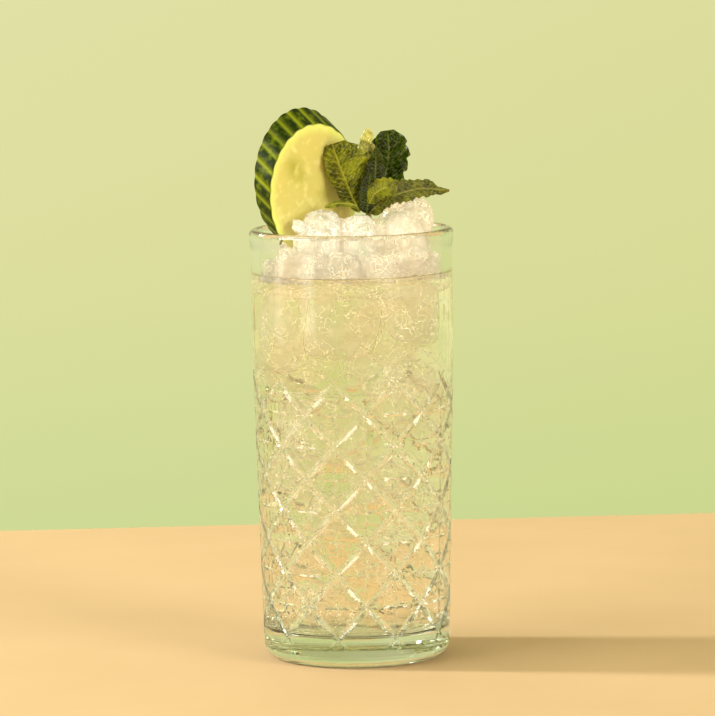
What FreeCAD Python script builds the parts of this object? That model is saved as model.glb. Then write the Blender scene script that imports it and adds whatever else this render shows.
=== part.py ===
"""A tall cut-glass tumbler of iced mint cocktail, garnished with cucumber and mint.

Frame: millimetres, +Z up. The origin is the middle of the foot, on the surface the
tumbler stands on, and -Y is the side that faces the drinker. Every sub-part is one
closed solid in its own STEP file under parts/.
"""
import FreeCAD
import Part
import math
import os

V = FreeCAD.Vector

# ---- Glass: outer form -------------------------------------------------------
GLASS_HEIGHT = 142.0
RIM_RADIUS = 33.2          # outside of the straight band under the lip
HEEL_TOP_RADIUS = 30.8     # outside of the wall just above the rounded heel
STRAIGHT_BAND = 38.0       # height of the plain straight band under the rim
HEEL_ROUND = 4.8           # radius of the heel between foot and wall
FOOT_HOLLOW_DEPTH = 0.8    # shallow dish pressed into the underside
FOOT_RING_WIDTH = 5.5      # flat ring that the tumbler stands on
LIP_FLARE = 0.5            # how far the lip stands out past the band
LIP_HEIGHT = 5.0           # height of the flared lip

# ---- Glass: inner form -------------------------------------------------------
WALL = 3.3
BASE_THICKNESS = 9.5
INNER_ROUND = 4.0          # radius between the inner floor and the wall

# ---- Cut pattern: V grooves that cross in diamonds -----------------------------
CUT_COLUMNS = 10
CUT_ROWS = 9               # rows of crossings
CUT_FIRST_ROW = 9.85       # height of the lowest crossings
CUT_TOP_MARGIN = 9.75      # from the highest crossings up to the straight band
CUT_TURN_DEG = -101.5      # bearing of one crossing in the lowest row
CUT_DEPTH = 0.35           # groove depth where two grooves cross
CUT_HALF_ANGLE_DEG = 56.0  # between a groove's side and the line into the wall
CUT_OVERRUN = 0.9          # how far a groove runs past its crossing
CUT_REACH = 2.2            # height of the cutter, well clear of the wall

# ---- Drink -------------------------------------------------------------------
LEVEL_BELOW_RIM = 15.0
FILL_GAP = 0.1             # between the drink and the curved wall
CONTENT_GAP = 0.2          # between the drink and what stands in it

# ---- Contents: laid out for one inner radius, and scaled to the glass's own ------
PACKED_RADIUS = 29.9

# ---- Ice chunks that rise out of the drink -------------------------------------
# name: (centre, with Z from the rim), (size), (yaw, pitch, roll), rounding
ICE_CHUNKS = {
    "ice_front": ((-9.5, -9.5, -4.4), (11.6, 13.0, 23.0), (10.0, 8.0, -5.0), 2.4),
    "ice_middle": ((3.4, -8.8, -6.2), (10.2, 11.6, 23.0), (-6.0, 4.0, 2.0), 2.8),
    "ice_round": ((17.4, -9.8, -6.4), (13.6, 13.5, 25.0), (-20.0, 3.0, 0.0), 5.6),
    "ice_back": ((17.6, 7.3, -4.9), (19.2, 16.5, 28.6), (10.0, 3.0, 1.0), 6.4),
    "ice_chip": ((-16.9, -11.3, 1.6), (3.2, 3.0, 4.4), (30.0, 12.0, 8.0), 0.8),
}

# ---- Cucumber slice ------------------------------------------------------------
SLICE_CENTRE = (-11.7, -1.4, 12.3)      # middle of the cut face, Z from the rim
SLICE_HALF_WIDTH = 20.4
SLICE_HALF_HEIGHT = 23.2
SLICE_THICKNESS = 7.0
SLICE_FACING_DEG = 45.0                # the face looks this far right of the drinker
SLICE_TIP_DEG = 7.0                    # the face is tipped this far down
SLICE_LEAN_DEG = 22.0                  # the oval's long axis leans this far left
SLICE_BIAS = (-0.11, 0.60)             # skew across and up, per thickness
SLICE_RIBS = 25                        # ribs round the rind
SLICE_RIB_HEIGHT = 0.35

# ---- Mint sprig ----------------------------------------------------------------
STEM_RADIUS = 1.1
STEM_FOOT = (5.9, 3.4, -20.0)          # Z from the rim
STEM_LENGTH = 29.0
LEAF_THICKNESS = 0.5
LEAF_STATIONS = 14                     # steps along a leaf
LEAF_LANES = 3                         # steps from the midrib to the margin
LEAF_STALK = 0.7                       # half-width where a leaf joins the stem
LEAF_FULLNESS = 0.75                   # lower is fuller towards both ends
LEAF_POINT = 0.25                      # half-width left at the very tip
# name: base, bend and tip, with Z from the rim; half-width; share of the length at
# the belly; the way the upper side faces; fold of the two halves in degrees
LEAVES = {
    "leaf_front_left": ((4.0, 0.8, 5.6), (1.6, -4.5, 15.0), (-7.6, -3.0, 26.6),
                        6.6, 0.62, (-0.3, 0.7, 0.3), 22.0),
    "leaf_right": ((7.0, 0.2, 4.6), (13.0, -5.5, 14.0), (32.4, -4.0, 12.0),
                   4.6, 0.42, (-0.1, -0.8, 0.6), 16.0),
    "leaf_back_dark": ((8.0, 4.8, 8.0), (14.5, 9.0, 18.0), (13.2, 9.5, 31.0),
                       6.2, 0.55, (0.1, -1.0, 0.1), 12.0),
    "leaf_back_inner": ((7.4, 3.2, 9.4), (9.6, 4.6, 18.0), (8.6, 3.6, 27.8),
                        2.6, 0.5, (0.3, -0.9, 0.2), 26.0),
    "leaf_back_pale": ((5.2, 5.2, 9.0), (5.6, 11.0, 18.0), (4.6, 10.6, 32.0),
                       2.3, 0.6, (-0.6, -0.8, 0.1), 26.0),
    "leaf_front_small": ((8.0, 2.0, 8.0), (12.0, 1.6, 10.5), (9.8, 0.4, 16.6),
                         3.9, 0.5, (-0.1, -0.9, 0.4), 20.0),
    "leaf_centre": ((4.9, 3.2, 9.5), (4.5, 2.4, 12.5), (5.2, 2.0, 16.8),
                    1.5, 0.5, (0.1, -1.0, 0.0), 26.0),
    "leaf_left_small": ((3.6, 3.0, 7.4), (0.4, 3.4, 9.0), (-4.6, 2.6, 11.6),
                        2.6, 0.5, (0.1, -0.9, 0.3), 14.0),
}

TAPER_TOP = GLASS_HEIGHT - STRAIGHT_BAND
INNER_RADIUS = RIM_RADIUS - WALL
LEVEL = GLASS_HEIGHT - LEVEL_BELOW_RIM
PACK_SCALE = INNER_RADIUS / PACKED_RADIUS
CUT_ROW_STEP = (TAPER_TOP - CUT_TOP_MARGIN - CUT_FIRST_ROW) / (CUT_ROWS - 1)


def from_rim(point):
    """A place among the contents, laid out from the rim, in the part's frame."""
    return V(0, 0, GLASS_HEIGHT) + V(*point) * PACK_SCALE


def unit(vector):
    """The vector at length one."""
    return vector * (1.0 / vector.Length)


def outer_radius(z):
    """Outside radius of the uncut wall at a height: a cone, then the straight band."""
    share = min(max((z - HEEL_ROUND) / (TAPER_TOP - HEEL_ROUND), 0.0), 1.0)
    return HEEL_TOP_RADIUS + (RIM_RADIUS - HEEL_TOP_RADIUS) * share


def line(start, end):
    return Part.LineSegment(V(start[0], 0, start[1]), V(end[0], 0, end[1])).toShape()


def arc(start, middle, end):
    points = [V(p[0], 0, p[1]) for p in (start, middle, end)]
    return Part.Arc(*points).toShape()


def quarter(start, end, centre, radius):
    """An arc about a centre from start to end, bulging away from that centre."""
    way = unit(V((start[0] + end[0]) / 2 - centre[0], 0, (start[1] + end[1]) / 2 - centre[1]))
    return arc(start, (centre[0] + way.x * radius, centre[1] + way.z * radius), end)


def turned(edges):
    """The solid that a closed outline in the XZ plane sweeps about the Z axis."""
    return Part.Face(Part.Wire(edges)).revolve(V(0, 0, 0), V(0, 0, 1), 360)


def cavity_outline(gap, top):
    """Outline of the space inside the glass, kept clear of the curved wall by a gap."""
    floor = BASE_THICKNESS
    round_top = floor + INNER_ROUND
    round_r = outer_radius(round_top) - WALL - gap
    wall_r = INNER_RADIUS - gap
    flat_r = round_r - INNER_ROUND
    return [
        line((0, floor), (flat_r, floor)),
        quarter((flat_r, floor), (round_r, round_top), (flat_r, round_top), INNER_ROUND),
        line((round_r, round_top), (wall_r, TAPER_TOP)),
        line((wall_r, TAPER_TOP), (wall_r, top)),
        line((wall_r, top), (0, top)),
        line((0, top), (0, floor)),
    ]


def glass_blank():
    """The tumbler before it is cut: heel, cone, straight band, flared round lip."""
    foot_r = HEEL_TOP_RADIUS - HEEL_ROUND
    hollow_r = foot_r - FOOT_RING_WIDTH
    lip_r = RIM_RADIUS + LIP_FLARE
    lip_round = (lip_r - INNER_RADIUS) / 2
    lip_z = GLASS_HEIGHT - lip_round
    floor = BASE_THICKNESS
    round_top = floor + INNER_ROUND
    round_r = outer_radius(round_top) - WALL
    flat_r = round_r - INNER_ROUND
    return turned([
        line((0, FOOT_HOLLOW_DEPTH), (hollow_r - FOOT_HOLLOW_DEPTH, FOOT_HOLLOW_DEPTH)),
        line((hollow_r - FOOT_HOLLOW_DEPTH, FOOT_HOLLOW_DEPTH), (hollow_r, 0)),
        line((hollow_r, 0), (foot_r, 0)),
        quarter((foot_r, 0), (HEEL_TOP_RADIUS, HEEL_ROUND), (foot_r, HEEL_ROUND), HEEL_ROUND),
        line((HEEL_TOP_RADIUS, HEEL_ROUND), (RIM_RADIUS, TAPER_TOP)),
        line((RIM_RADIUS, TAPER_TOP), (RIM_RADIUS, GLASS_HEIGHT - LIP_HEIGHT)),
        line((RIM_RADIUS, GLASS_HEIGHT - LIP_HEIGHT), (lip_r, lip_z)),
        arc((lip_r, lip_z), (INNER_RADIUS + lip_round, GLASS_HEIGHT), (INNER_RADIUS, lip_z)),
        line((INNER_RADIUS, lip_z), (INNER_RADIUS, TAPER_TOP)),
        line((INNER_RADIUS, TAPER_TOP), (round_r, round_top)),
        quarter((round_r, round_top), (flat_r, floor), (flat_r, round_top), INNER_ROUND),
        line((flat_r, floor), (0, floor)),
        line((0, floor), (0, FOOT_HOLLOW_DEPTH)),
    ])


def crossing(row, half_column):
    """The point, one cut depth into the wall, where grooves cross."""
    z = CUT_FIRST_ROW + CUT_ROW_STEP * row
    bearing = math.radians(CUT_TURN_DEG + half_column * 180.0 / CUT_COLUMNS)
    r = outer_radius(z) - CUT_DEPTH
    return V(r * math.cos(bearing), r * math.sin(bearing), z)


def groove_cutter(start, end):
    """A straight V-shaped wedge, its edge running from one crossing to the next."""
    way = unit(end - start)
    outward = V((start.x + end.x) / 2, (start.y + end.y) / 2, 0)
    outward = unit(outward - way * outward.dot(way))
    across = way.cross(outward) * (CUT_REACH * math.tan(math.radians(CUT_HALF_ANGLE_DEG)))
    tip = start - way * CUT_OVERRUN
    top = tip + outward * CUT_REACH
    section = Part.Face(Part.makePolygon([tip, top + across, top - across, tip]))
    return section.extrude(end - start + way * (2 * CUT_OVERRUN))


def make_glass():
    """The blank with its diamond lattice of grooves cut into the lower wall."""
    cutters = []
    for row in range(CUT_ROWS - 1):
        for column in range(CUT_COLUMNS):
            half_column = 2 * column + row % 2
            for side in (-1, 1):
                cutters.append(groove_cutter(crossing(row, half_column),
                                             crossing(row + 1, half_column + side)))
    return glass_blank().cut(cutters)


def make_ice(centre, size, turn, rounding, grow=0.0):
    """A chunk of ice: a block with its edges melted round, turned as it floats."""
    sides = [side * PACK_SCALE + 2 * grow for side in size]
    block = Part.makeBox(*sides)
    block = block.makeFillet(rounding * PACK_SCALE + grow, block.Edges)
    block.translate(V(*[-side / 2 for side in sides]))
    block.Placement = FreeCAD.Placement(from_rim(centre), FreeCAD.Rotation(*turn)).multiply(
        block.Placement)
    return block


def slice_axes():
    """The slice's own axes: across its face, up its face, and straight out of it."""
    facing = math.radians(SLICE_FACING_DEG)
    tip = math.radians(SLICE_TIP_DEG)
    out = V(math.sin(facing) * math.cos(tip), -math.cos(facing) * math.cos(tip), -math.sin(tip))
    across = V(math.cos(facing), math.sin(facing), 0)
    return across, out.cross(across), out


def make_slice(grow=0.0):
    """A bias-cut slice of cucumber: an oval with a ribbed rind, swept along a skew line."""
    across, up, out = slice_axes()
    lean = math.radians(SLICE_LEAN_DEG)
    points = []
    steps = 2 * SLICE_RIBS
    for step in range(steps):
        angle = 2 * math.pi * step / steps
        rib = SLICE_RIB_HEIGHT * (step % 2 - 1)
        x = ((SLICE_HALF_WIDTH + rib) * PACK_SCALE + grow) * math.cos(angle)
        y = ((SLICE_HALF_HEIGHT + rib) * PACK_SCALE + grow) * math.sin(angle)
        u = x * math.cos(lean) - y * math.sin(lean)
        w = x * math.sin(lean) + y * math.cos(lean)
        points.append(from_rim(SLICE_CENTRE) + across * u + up * w + out * grow)
    outline = Part.BSplineCurve()
    outline.interpolate(points, PeriodicFlag=True)
    depth = SLICE_THICKNESS * PACK_SCALE + 2 * grow
    sweep = (across * SLICE_BIAS[0] + up * SLICE_BIAS[1] - out) * depth
    return Part.Face(Part.Wire(outline.toShape())).extrude(sweep)


def make_stem(grow=0.0):
    """The mint stalk, standing in the drink between the chunks of ice."""
    return Part.makeCylinder(STEM_RADIUS * PACK_SCALE + grow, STEM_LENGTH * PACK_SCALE + 2 * grow,
                             from_rim(STEM_FOOT) - V(0, 0, grow))


def leaf_half_width(share, half_width, belly_share):
    """Half-width of a leaf at a share of its length: narrow stalk, belly, pointed tip."""
    swell = math.sin(math.pi * share ** (math.log(0.5) / math.log(belly_share)))
    return (half_width * max(swell, 0.0) ** LEAF_FULLNESS
            + LEAF_STALK * (1 - share) ** 2 + LEAF_POINT * share)


def make_leaf(base, bend, tip, half_width, belly_share, facing, fold_deg):
    """A thin leaf folded along its midrib, which runs on a curve from base to tip."""
    base, bend, tip = from_rim(base), from_rim(bend), from_rim(tip)
    fold = math.radians(fold_deg)
    lanes = 2 * LEAF_LANES + 1
    upper = []
    lower = []
    for station in range(LEAF_STATIONS + 1):
        t = station / LEAF_STATIONS
        spine = base * (1 - t) ** 2 + bend * (2 * t * (1 - t)) + tip * t ** 2
        way = unit((bend - base) * (1 - t) + (tip - bend) * t)
        side = unit(way.cross(V(*facing)))
        normal = side.cross(way)
        reach = leaf_half_width(t, half_width, belly_share) * PACK_SCALE
        for lane in range(-LEAF_LANES, LEAF_LANES + 1):
            v = lane / LEAF_LANES
            point = spine + side * (v * reach * math.cos(fold))
            point = point + normal * (abs(v) * reach * math.sin(fold))
            upper.append(point + normal * (LEAF_THICKNESS / 2))
            lower.append(point - normal * (LEAF_THICKNESS / 2))
    return closed_sheet(upper, lower, LEAF_STATIONS + 1, lanes)


def closed_sheet(upper, lower, rows, columns):
    """A solid between two grids of points, closed round its margin with a narrow wall."""
    shift = len(upper)
    facets = []
    for i in range(rows - 1):
        for j in range(columns - 1):
            a = i * columns + j
            b, c, d = a + 1, a + columns + 1, a + columns
            facets += [(a, b, c), (a, c, d)]
            facets += [(shift + a, shift + c, shift + b), (shift + a, shift + d, shift + c)]
    rim = [j for j in range(columns)]
    rim += [i * columns + columns - 1 for i in range(1, rows)]
    rim += [(rows - 1) * columns + j for j in range(columns - 2, -1, -1)]
    rim += [i * columns for i in range(rows - 2, 0, -1)]
    for here, there in zip(rim, rim[1:] + rim[:1]):
        facets += [(here, shift + here, shift + there), (here, shift + there, there)]
    shell = Part.Shape()
    shell.makeShapeFromMesh((upper + lower, facets), 0.001)
    solid = Part.Solid(Part.Shell(shell.Faces))
    if solid.Volume < 0:
        solid.reverse()
    return solid


def make_drink(ice_hollows):
    """The drink up to its level, cut round the ice, the slice and the stalk."""
    drink = turned(cavity_outline(FILL_GAP, LEVEL))
    return drink.cut(ice_hollows + [make_slice(CONTENT_GAP), make_stem(CONTENT_GAP)])


def main():
    """Build every sub-part and write it to its own STEP file."""
    os.makedirs("parts", exist_ok=True)
    ice_hollows = [make_ice(*chunk, grow=CONTENT_GAP) for chunk in ICE_CHUNKS.values()]
    parts = {
        "glass": make_glass(),
        "drink": make_drink(ice_hollows),
        "cucumber_slice": make_slice(),
        "mint_stem": make_stem(),
    }
    for name, chunk in ICE_CHUNKS.items():
        parts[name] = make_ice(*chunk)
    for name, leaf in LEAVES.items():
        parts[name] = make_leaf(*leaf)
    for name, shape in parts.items():
        shape.exportStep("parts/" + name + ".step")
        print(name, "valid", shape.isValid(), "solids", len(shape.Solids),
              "volume %.1f" % shape.Volume)


main()
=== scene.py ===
"""Looks for an iced mint cocktail in a cut-glass tumbler, with cucumber and mint.

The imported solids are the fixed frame. Every visible piece is a surface worked out with
numpy in millimetres, in that frame, and is scaled to metres when its mesh is made.
"""
from __future__ import annotations

import logging
import math
from dataclasses import dataclass, field
from enum import Enum

import bpy
import numpy as np
from mathutils import Euler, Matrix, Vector

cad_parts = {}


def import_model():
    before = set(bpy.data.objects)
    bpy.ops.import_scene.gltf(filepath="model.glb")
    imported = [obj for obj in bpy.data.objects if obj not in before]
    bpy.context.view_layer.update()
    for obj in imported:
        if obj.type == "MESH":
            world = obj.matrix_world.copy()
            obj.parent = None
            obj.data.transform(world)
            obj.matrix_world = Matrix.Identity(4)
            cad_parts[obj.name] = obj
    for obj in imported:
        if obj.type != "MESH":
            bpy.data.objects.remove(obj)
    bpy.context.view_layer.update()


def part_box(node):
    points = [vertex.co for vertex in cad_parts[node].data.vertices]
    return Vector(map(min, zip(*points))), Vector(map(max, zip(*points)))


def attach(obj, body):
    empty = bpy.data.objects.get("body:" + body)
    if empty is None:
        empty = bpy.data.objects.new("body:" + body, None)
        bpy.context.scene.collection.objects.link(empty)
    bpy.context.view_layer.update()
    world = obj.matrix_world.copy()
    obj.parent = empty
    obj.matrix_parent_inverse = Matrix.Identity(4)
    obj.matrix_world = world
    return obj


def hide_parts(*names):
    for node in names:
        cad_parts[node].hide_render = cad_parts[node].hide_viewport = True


LOG = logging.getLogger("drink")
MM = 0.001
BODY = "root"
TAU = 2.0 * math.pi
Array = np.ndarray
Colour = tuple[float, float, float]
Place = tuple[float, float, float]
FACE_REACH = (0.86, 0.98)
CORNER_REACH = (0.98, 1.16)
CORNER_SPREAD = 0.35


def tone(red: int, green: int, blue: int) -> Colour:
    """A display colour as the linear colour that a shader takes.

    Args:
        red: The first channel, from 0 to 255.
        green: The second channel.
        blue: The third channel.
    Returns:
        The three linear channels.
    """
    def linear(value: int) -> float:
        """One channel, by the standard display curve."""
        share = value / 255.0
        return share / 12.92 if share <= 0.04045 else ((share + 0.055) / 1.055) ** 2.4
    return linear(red), linear(green), linear(blue)


def smooth_step(low: float, high: float, value: Array) -> Array:
    """Zero below low, one above high, and an eased ramp between them.

    Args:
        low: Where the ramp starts.
        high: Where it ends.
        value: The values to ease.
    Returns:
        A share for each value.
    """
    share = np.clip((value - low) / (high - low), 0.0, 1.0)
    return share * share * (3.0 - 2.0 * share)


def turn_matrix(yaw: float, pitch: float, roll: float) -> Array:
    """The rotation about X, then Y, then Z, as a 3 by 3 array.

    Args:
        yaw: Degrees about Z.
        pitch: Degrees about Y.
        roll: Degrees about X.
    Returns:
        The rotation.
    """
    turn = Euler([math.radians(a) for a in (roll, pitch, yaw)], "XYZ")
    return np.array(turn.to_matrix())


# ---- Meshes ---------------------------------------------------------------------


@dataclass
class Surface:
    """Vertices in millimetres with faces of three or four corners."""

    points: Array
    faces: list[Array]
    marks: dict[str, Array] = field(default_factory=dict)

    def volume(self) -> float:
        """Sum of the signed tetrahedra from the origin to each face.

        Returns:
            The volume, positive where the faces point outwards.
        """
        total = 0.0
        for block in self.faces:
            for k in range(1, block.shape[1] - 1):
                a, b, c = (self.points[block[:, i]] for i in (0, k, k + 1))
                total += float(np.einsum("ij,ij->i", a, np.cross(b, c)).sum()) / 6.0
        return total

    def outward(self) -> "Surface":
        """Turn the faces of a closed surface outwards.

        Returns:
            The same surface.
        """
        if self.volume() < 0.0:
            self.faces = [block[:, ::-1] for block in self.faces]
        return self

    def moved(self, turn: Array, place: Array) -> "Surface":
        """The surface turned by a matrix and then moved."""
        return Surface(self.points @ turn.T + place, self.faces, self.marks)


def join(parts: list[Surface]) -> Surface:
    """Several surfaces as one.

    Args:
        parts: The surfaces, all with the same marks.
    Returns:
        One surface, with points and marks in the order of the parts.
    """
    points = np.concatenate([part.points for part in parts])
    faces = []
    start = 0
    for part in parts:
        faces += [block + start for block in part.faces]
        start += len(part.points)
    names = parts[0].marks
    marks = {name: np.concatenate([part.marks[name] for part in parts]) for name in names}
    return Surface(points, faces, marks)


def grid_faces(rows: int, columns: int, wrap: bool) -> Array:
    """Quads between neighbouring rows of a grid of points.

    Args:
        rows: Rows of points.
        columns: Points in each row.
        wrap: Join the last point of a row to its first.
    Returns:
        Four point numbers for each quad.
    """
    ring = np.arange(columns if wrap else columns - 1)
    after = (ring + 1) % columns
    base = np.arange(rows - 1)[:, None] * columns
    quads = np.stack([base + ring, base + after, base + after + columns, base + ring + columns], -1)
    return quads.reshape(-1, 4)


def closed_rings(points: Array, ends: Array) -> Surface:
    """A closed surface through rings of points, with a fan of triangles at each end.

    Args:
        points: Rings by columns by 3.
        ends: The two points that close the first and the last ring.
    Returns:
        The surface, with its faces pointing outwards.
    """
    rings, columns = points.shape[:2]
    here = np.arange(columns)
    after = (here + 1) % columns
    last = (rings - 1) * columns
    low, high = rings * columns, rings * columns + 1
    fans = np.concatenate([np.stack([after, here, np.full(columns, low)], -1),
                           np.stack([last + here, last + after, np.full(columns, high)], -1)])
    every = np.concatenate([points.reshape(-1, 3), ends])
    return Surface(every, [grid_faces(rings, columns, True), fans]).outward()


def lathe(radius: Array, height: Array, bearing: Array) -> Surface:
    """A closed surface round the Z axis, from a bottom pole to a top pole.

    Ring i, column j is the point at radius[i, j] and height[i, j] on bearing[j]. The
    first and last rings are closed by a fan of triangles to a point on the axis.

    Args:
        radius: Rings by columns.
        height: Rings by columns.
        bearing: One angle for each column.
    Returns:
        The surface, with its faces pointing outwards.
    """
    points = np.stack([radius * np.cos(bearing), radius * np.sin(bearing), height], -1)
    poles = np.array([[0.0, 0.0, height[0].mean()], [0.0, 0.0, height[-1].mean()]])
    return closed_rings(points, poles)


def split_along_valleys(surface: Surface, depth: Array) -> Surface:
    """Each quad as two triangles, split along the diagonal whose two corners lie deeper.

    Args:
        surface: A lathe surface, with its quads first and its fans second.
        depth: How deep each point is cut.
    Returns:
        The same surface in triangles.
    """
    quads, fans = surface.faces
    a, b, c, d = quads.T
    first = (depth[a] + depth[c] >= depth[b] + depth[d])[:, None]
    one = np.where(first, np.stack([a, b, c], -1), np.stack([a, b, d], -1))
    two = np.where(first, np.stack([a, c, d], -1), np.stack([b, c, d], -1))
    return Surface(surface.points, [np.concatenate([one, two, fans])], surface.marks)


def closed_sheet(upper: Array, lower: Array, marks: dict[str, Array]) -> Surface:
    """A thin closed body between two grids of points, with a narrow wall at its margin.

    Args:
        upper: Rows by columns by 3, the upper side.
        lower: The lower side, point for point.
        marks: Values for each point of one side, used for both.
    Returns:
        The body, with its faces pointing outwards.
    """
    rows, columns = upper.shape[:2]
    count = rows * columns
    index = np.arange(count).reshape(rows, columns)
    rim = np.concatenate([index[0, :-1], index[:-1, -1], index[-1, :0:-1], index[:0:-1, 0]])
    after = np.roll(rim, -1)
    quads = grid_faces(rows, columns, False)
    wall = np.stack([rim, rim + count, after + count, after], -1)
    points = np.concatenate([upper.reshape(-1, 3), lower.reshape(-1, 3)])
    both = {name: np.tile(value.ravel(), 2) for name, value in marks.items()}
    return Surface(points, [quads, quads[:, ::-1] + count, wall], both).outward()


def tube(path: Array, radius: Array, sides: int) -> Surface:
    """A round closed tube: each ring of points is square to the path's own direction.

    Args:
        path: Points along the middle.
        radius: Radius at each of them.
        sides: Points round each ring.
    Returns:
        The tube, with its faces pointing outwards.
    """
    along = np.gradient(path, axis=0)
    along /= np.linalg.norm(along, axis=1, keepdims=True)
    off_the_path = np.array([0.3, 0.9, 0.1])
    aside = np.cross(along, off_the_path)
    aside /= np.linalg.norm(aside, axis=1, keepdims=True)
    third = np.cross(along, aside)
    angle = np.linspace(0.0, TAU, sides, endpoint=False)
    ring = (aside[:, None] * np.cos(angle)[:, None] + third[:, None] * np.sin(angle)[:, None])
    points = path[:, None] + ring * radius[:, None, None]
    return closed_rings(points, np.stack([path[0], path[-1]]))


def ball_directions(rings: int, columns: int) -> tuple[Array, Array]:
    """The directions of a grid of points round a ball.

    Args:
        rings: Rings between the poles.
        columns: Points round each ring.
    Returns:
        The bearing of each column, and the height angle of each ring.
    """
    bearing = np.linspace(0.0, TAU, columns, endpoint=False)
    rise = np.linspace(-0.5 * math.pi, 0.5 * math.pi, rings + 2)[1:-1]
    return bearing, rise


def lump(half: Array, planes: Array, crispness: float, rings: int, columns: int) -> Surface:
    """A convex lump bounded by planes whose meetings are melted round.

    The distance to the surface along a direction d is the p-norm form of the nearest
    plane: (sum over planes of (d.n / reach) to the p) to the -1/p, then stretched to
    the half sizes. A high p gives crisp facets and a low p gives a pebble.

    Args:
        half: Half size along X, Y and Z.
        planes: One row for each plane: its outward normal and its reach.
        crispness: The power p.
        rings: Rings between the poles.
        columns: Points round each ring.
    Returns:
        The lump about the origin.
    """
    bearing, rise = ball_directions(rings, columns)
    flat = np.cos(rise)[:, None]
    way = np.stack([flat * np.cos(bearing), flat * np.sin(bearing),
                    np.broadcast_to(np.sin(rise)[:, None], (rings, columns))], -1)
    facing = np.clip(way @ planes[:, :3].T, 0.0, None) / planes[:, 3]
    reach = (facing ** crispness).sum(-1) ** (-1.0 / crispness)
    points = way * reach[..., None] * half
    ends = np.array([[0.0, 0.0, points[0, :, 2].mean()], [0.0, 0.0, points[-1, :, 2].mean()]])
    return closed_rings(points, ends)


def block_planes(rng: np.random.Generator, chips: int, spread: float) -> Array:
    """Six faces of a block, a little askew, and some corners chipped off it.

    Args:
        rng: Where the unevenness comes from.
        chips: How many corners are chipped.
        spread: How askew the faces are.
    Returns:
        One row for each plane: its outward normal and its reach.
    """
    faces = np.concatenate([np.eye(3), -np.eye(3)])
    faces = faces + rng.normal(0.0, spread, faces.shape)
    corners = rng.choice([-1.0, 1.0], (chips, 3)) + rng.normal(0.0, CORNER_SPREAD, (chips, 3))
    normals = np.concatenate([faces, corners])
    normals /= np.linalg.norm(normals, axis=1, keepdims=True)
    reach = np.concatenate([rng.uniform(*FACE_REACH, len(faces)), rng.uniform(*CORNER_REACH, chips)])
    return np.concatenate([normals, reach[:, None]], 1)


def ripple(points: Array, rng: np.random.Generator, size: float, waves: int = 7) -> Array:
    """A smooth uneven field over space, about -1 to 1: a sum of sines in random directions.

    Args:
        points: Where the field is wanted; the last axis is X, Y and Z.
        rng: Where the directions and phases come from.
        size: Length of one wave.
        waves: How many sines are added.
    Returns:
        One value for each point.
    """
    ways = rng.normal(0.0, 1.0, (waves, 3))
    ways *= (TAU / size) / np.linalg.norm(ways, axis=1, keepdims=True)
    phases = rng.uniform(0.0, TAU, waves)
    return np.sin(points @ ways.T + phases).sum(-1) / math.sqrt(waves)


def small_ball(rings: int, columns: int) -> Surface:
    """A ball of radius one with few faces, for things that are repeated many times.

    Args:
        rings: Rings between the poles.
        columns: Points round each ring.
    Returns:
        The ball about the origin.
    """
    bearing, rise = ball_directions(rings, columns)
    flat = np.repeat(np.cos(rise)[:, None], columns, 1)
    ball = lathe(flat, np.repeat(np.sin(rise)[:, None], columns, 1), bearing)
    ball.points[-2:, 2] = (-1.0, 1.0)
    return ball


def scatter(shape: Surface, sizes: Array, turns: Array, places: Array) -> Surface:
    """Copies of one small shape as one mesh: each is scaled, then turned, then placed.

    Args:
        shape: The shape to repeat.
        sizes: Scale along X, Y and Z for each copy.
        turns: A 3 by 3 rotation for each copy.
        places: The centre of each copy.
    Returns:
        One surface with all the copies.
    """
    points = np.einsum("nij,nvj->nvi", turns, shape.points[None] * sizes[:, None]) + places[:, None]
    start = np.arange(len(places))[:, None, None] * len(shape.points)
    faces = [(block[None] + start).reshape(-1, block.shape[1]) for block in shape.faces]
    return Surface(points.reshape(-1, 3), faces)


def random_turns(rng: np.random.Generator, count: int) -> Array:
    """Random rotation matrices: the orthogonal part of random 3 by 3 arrays."""
    turns, _ = np.linalg.qr(rng.normal(0.0, 1.0, (count, 3, 3)))
    return turns * np.sign(np.linalg.det(turns))[:, None, None]


def make_piece(name: str, surface: Surface, material: bpy.types.Material,
               replaces: tuple[str, ...] = (), crease_deg: float | None = None) -> bpy.types.Object:
    """Put a surface into a mesh object that rides on the drink's one body.

    Args:
        name: The piece's name.
        surface: Its points in millimetres, and its faces.
        material: Its material.
        replaces: The solids that it stands for.
        crease_deg: Edges that turn by more than this stay sharp; all are smooth if None.
    Returns:
        The new object.
    """
    mesh = bpy.data.meshes.new(name)
    corners = np.concatenate([block.ravel() for block in surface.faces]).astype(np.int32)
    sizes = np.concatenate([np.full(len(block), block.shape[1]) for block in surface.faces])
    starts = np.concatenate([[0], np.cumsum(sizes)[:-1]]).astype(np.int32)
    mesh.vertices.add(len(surface.points))
    mesh.vertices.foreach_set("co", (surface.points * MM).astype(np.float32).ravel())
    mesh.loops.add(len(corners))
    mesh.loops.foreach_set("vertex_index", corners)
    mesh.polygons.add(len(sizes))
    mesh.polygons.foreach_set("loop_start", starts)
    mesh.update(calc_edges=True)
    for mark, values in surface.marks.items():
        layer = mesh.attributes.new(mark, "FLOAT", "POINT")
        layer.data.foreach_set("value", values.astype(np.float32))
    mesh.shade_smooth()
    if crease_deg is not None:
        mesh.set_sharp_from_angle(angle=math.radians(crease_deg))
    piece = bpy.data.objects.new(name, mesh)
    bpy.context.scene.collection.objects.link(piece)
    mesh.materials.append(material)
    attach(piece, BODY)
    if replaces:
        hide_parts(*replaces)
    LOG.info("%s: %d faces", name, len(sizes))
    return piece


# ---- Shaders ---------------------------------------------------------------------


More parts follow.
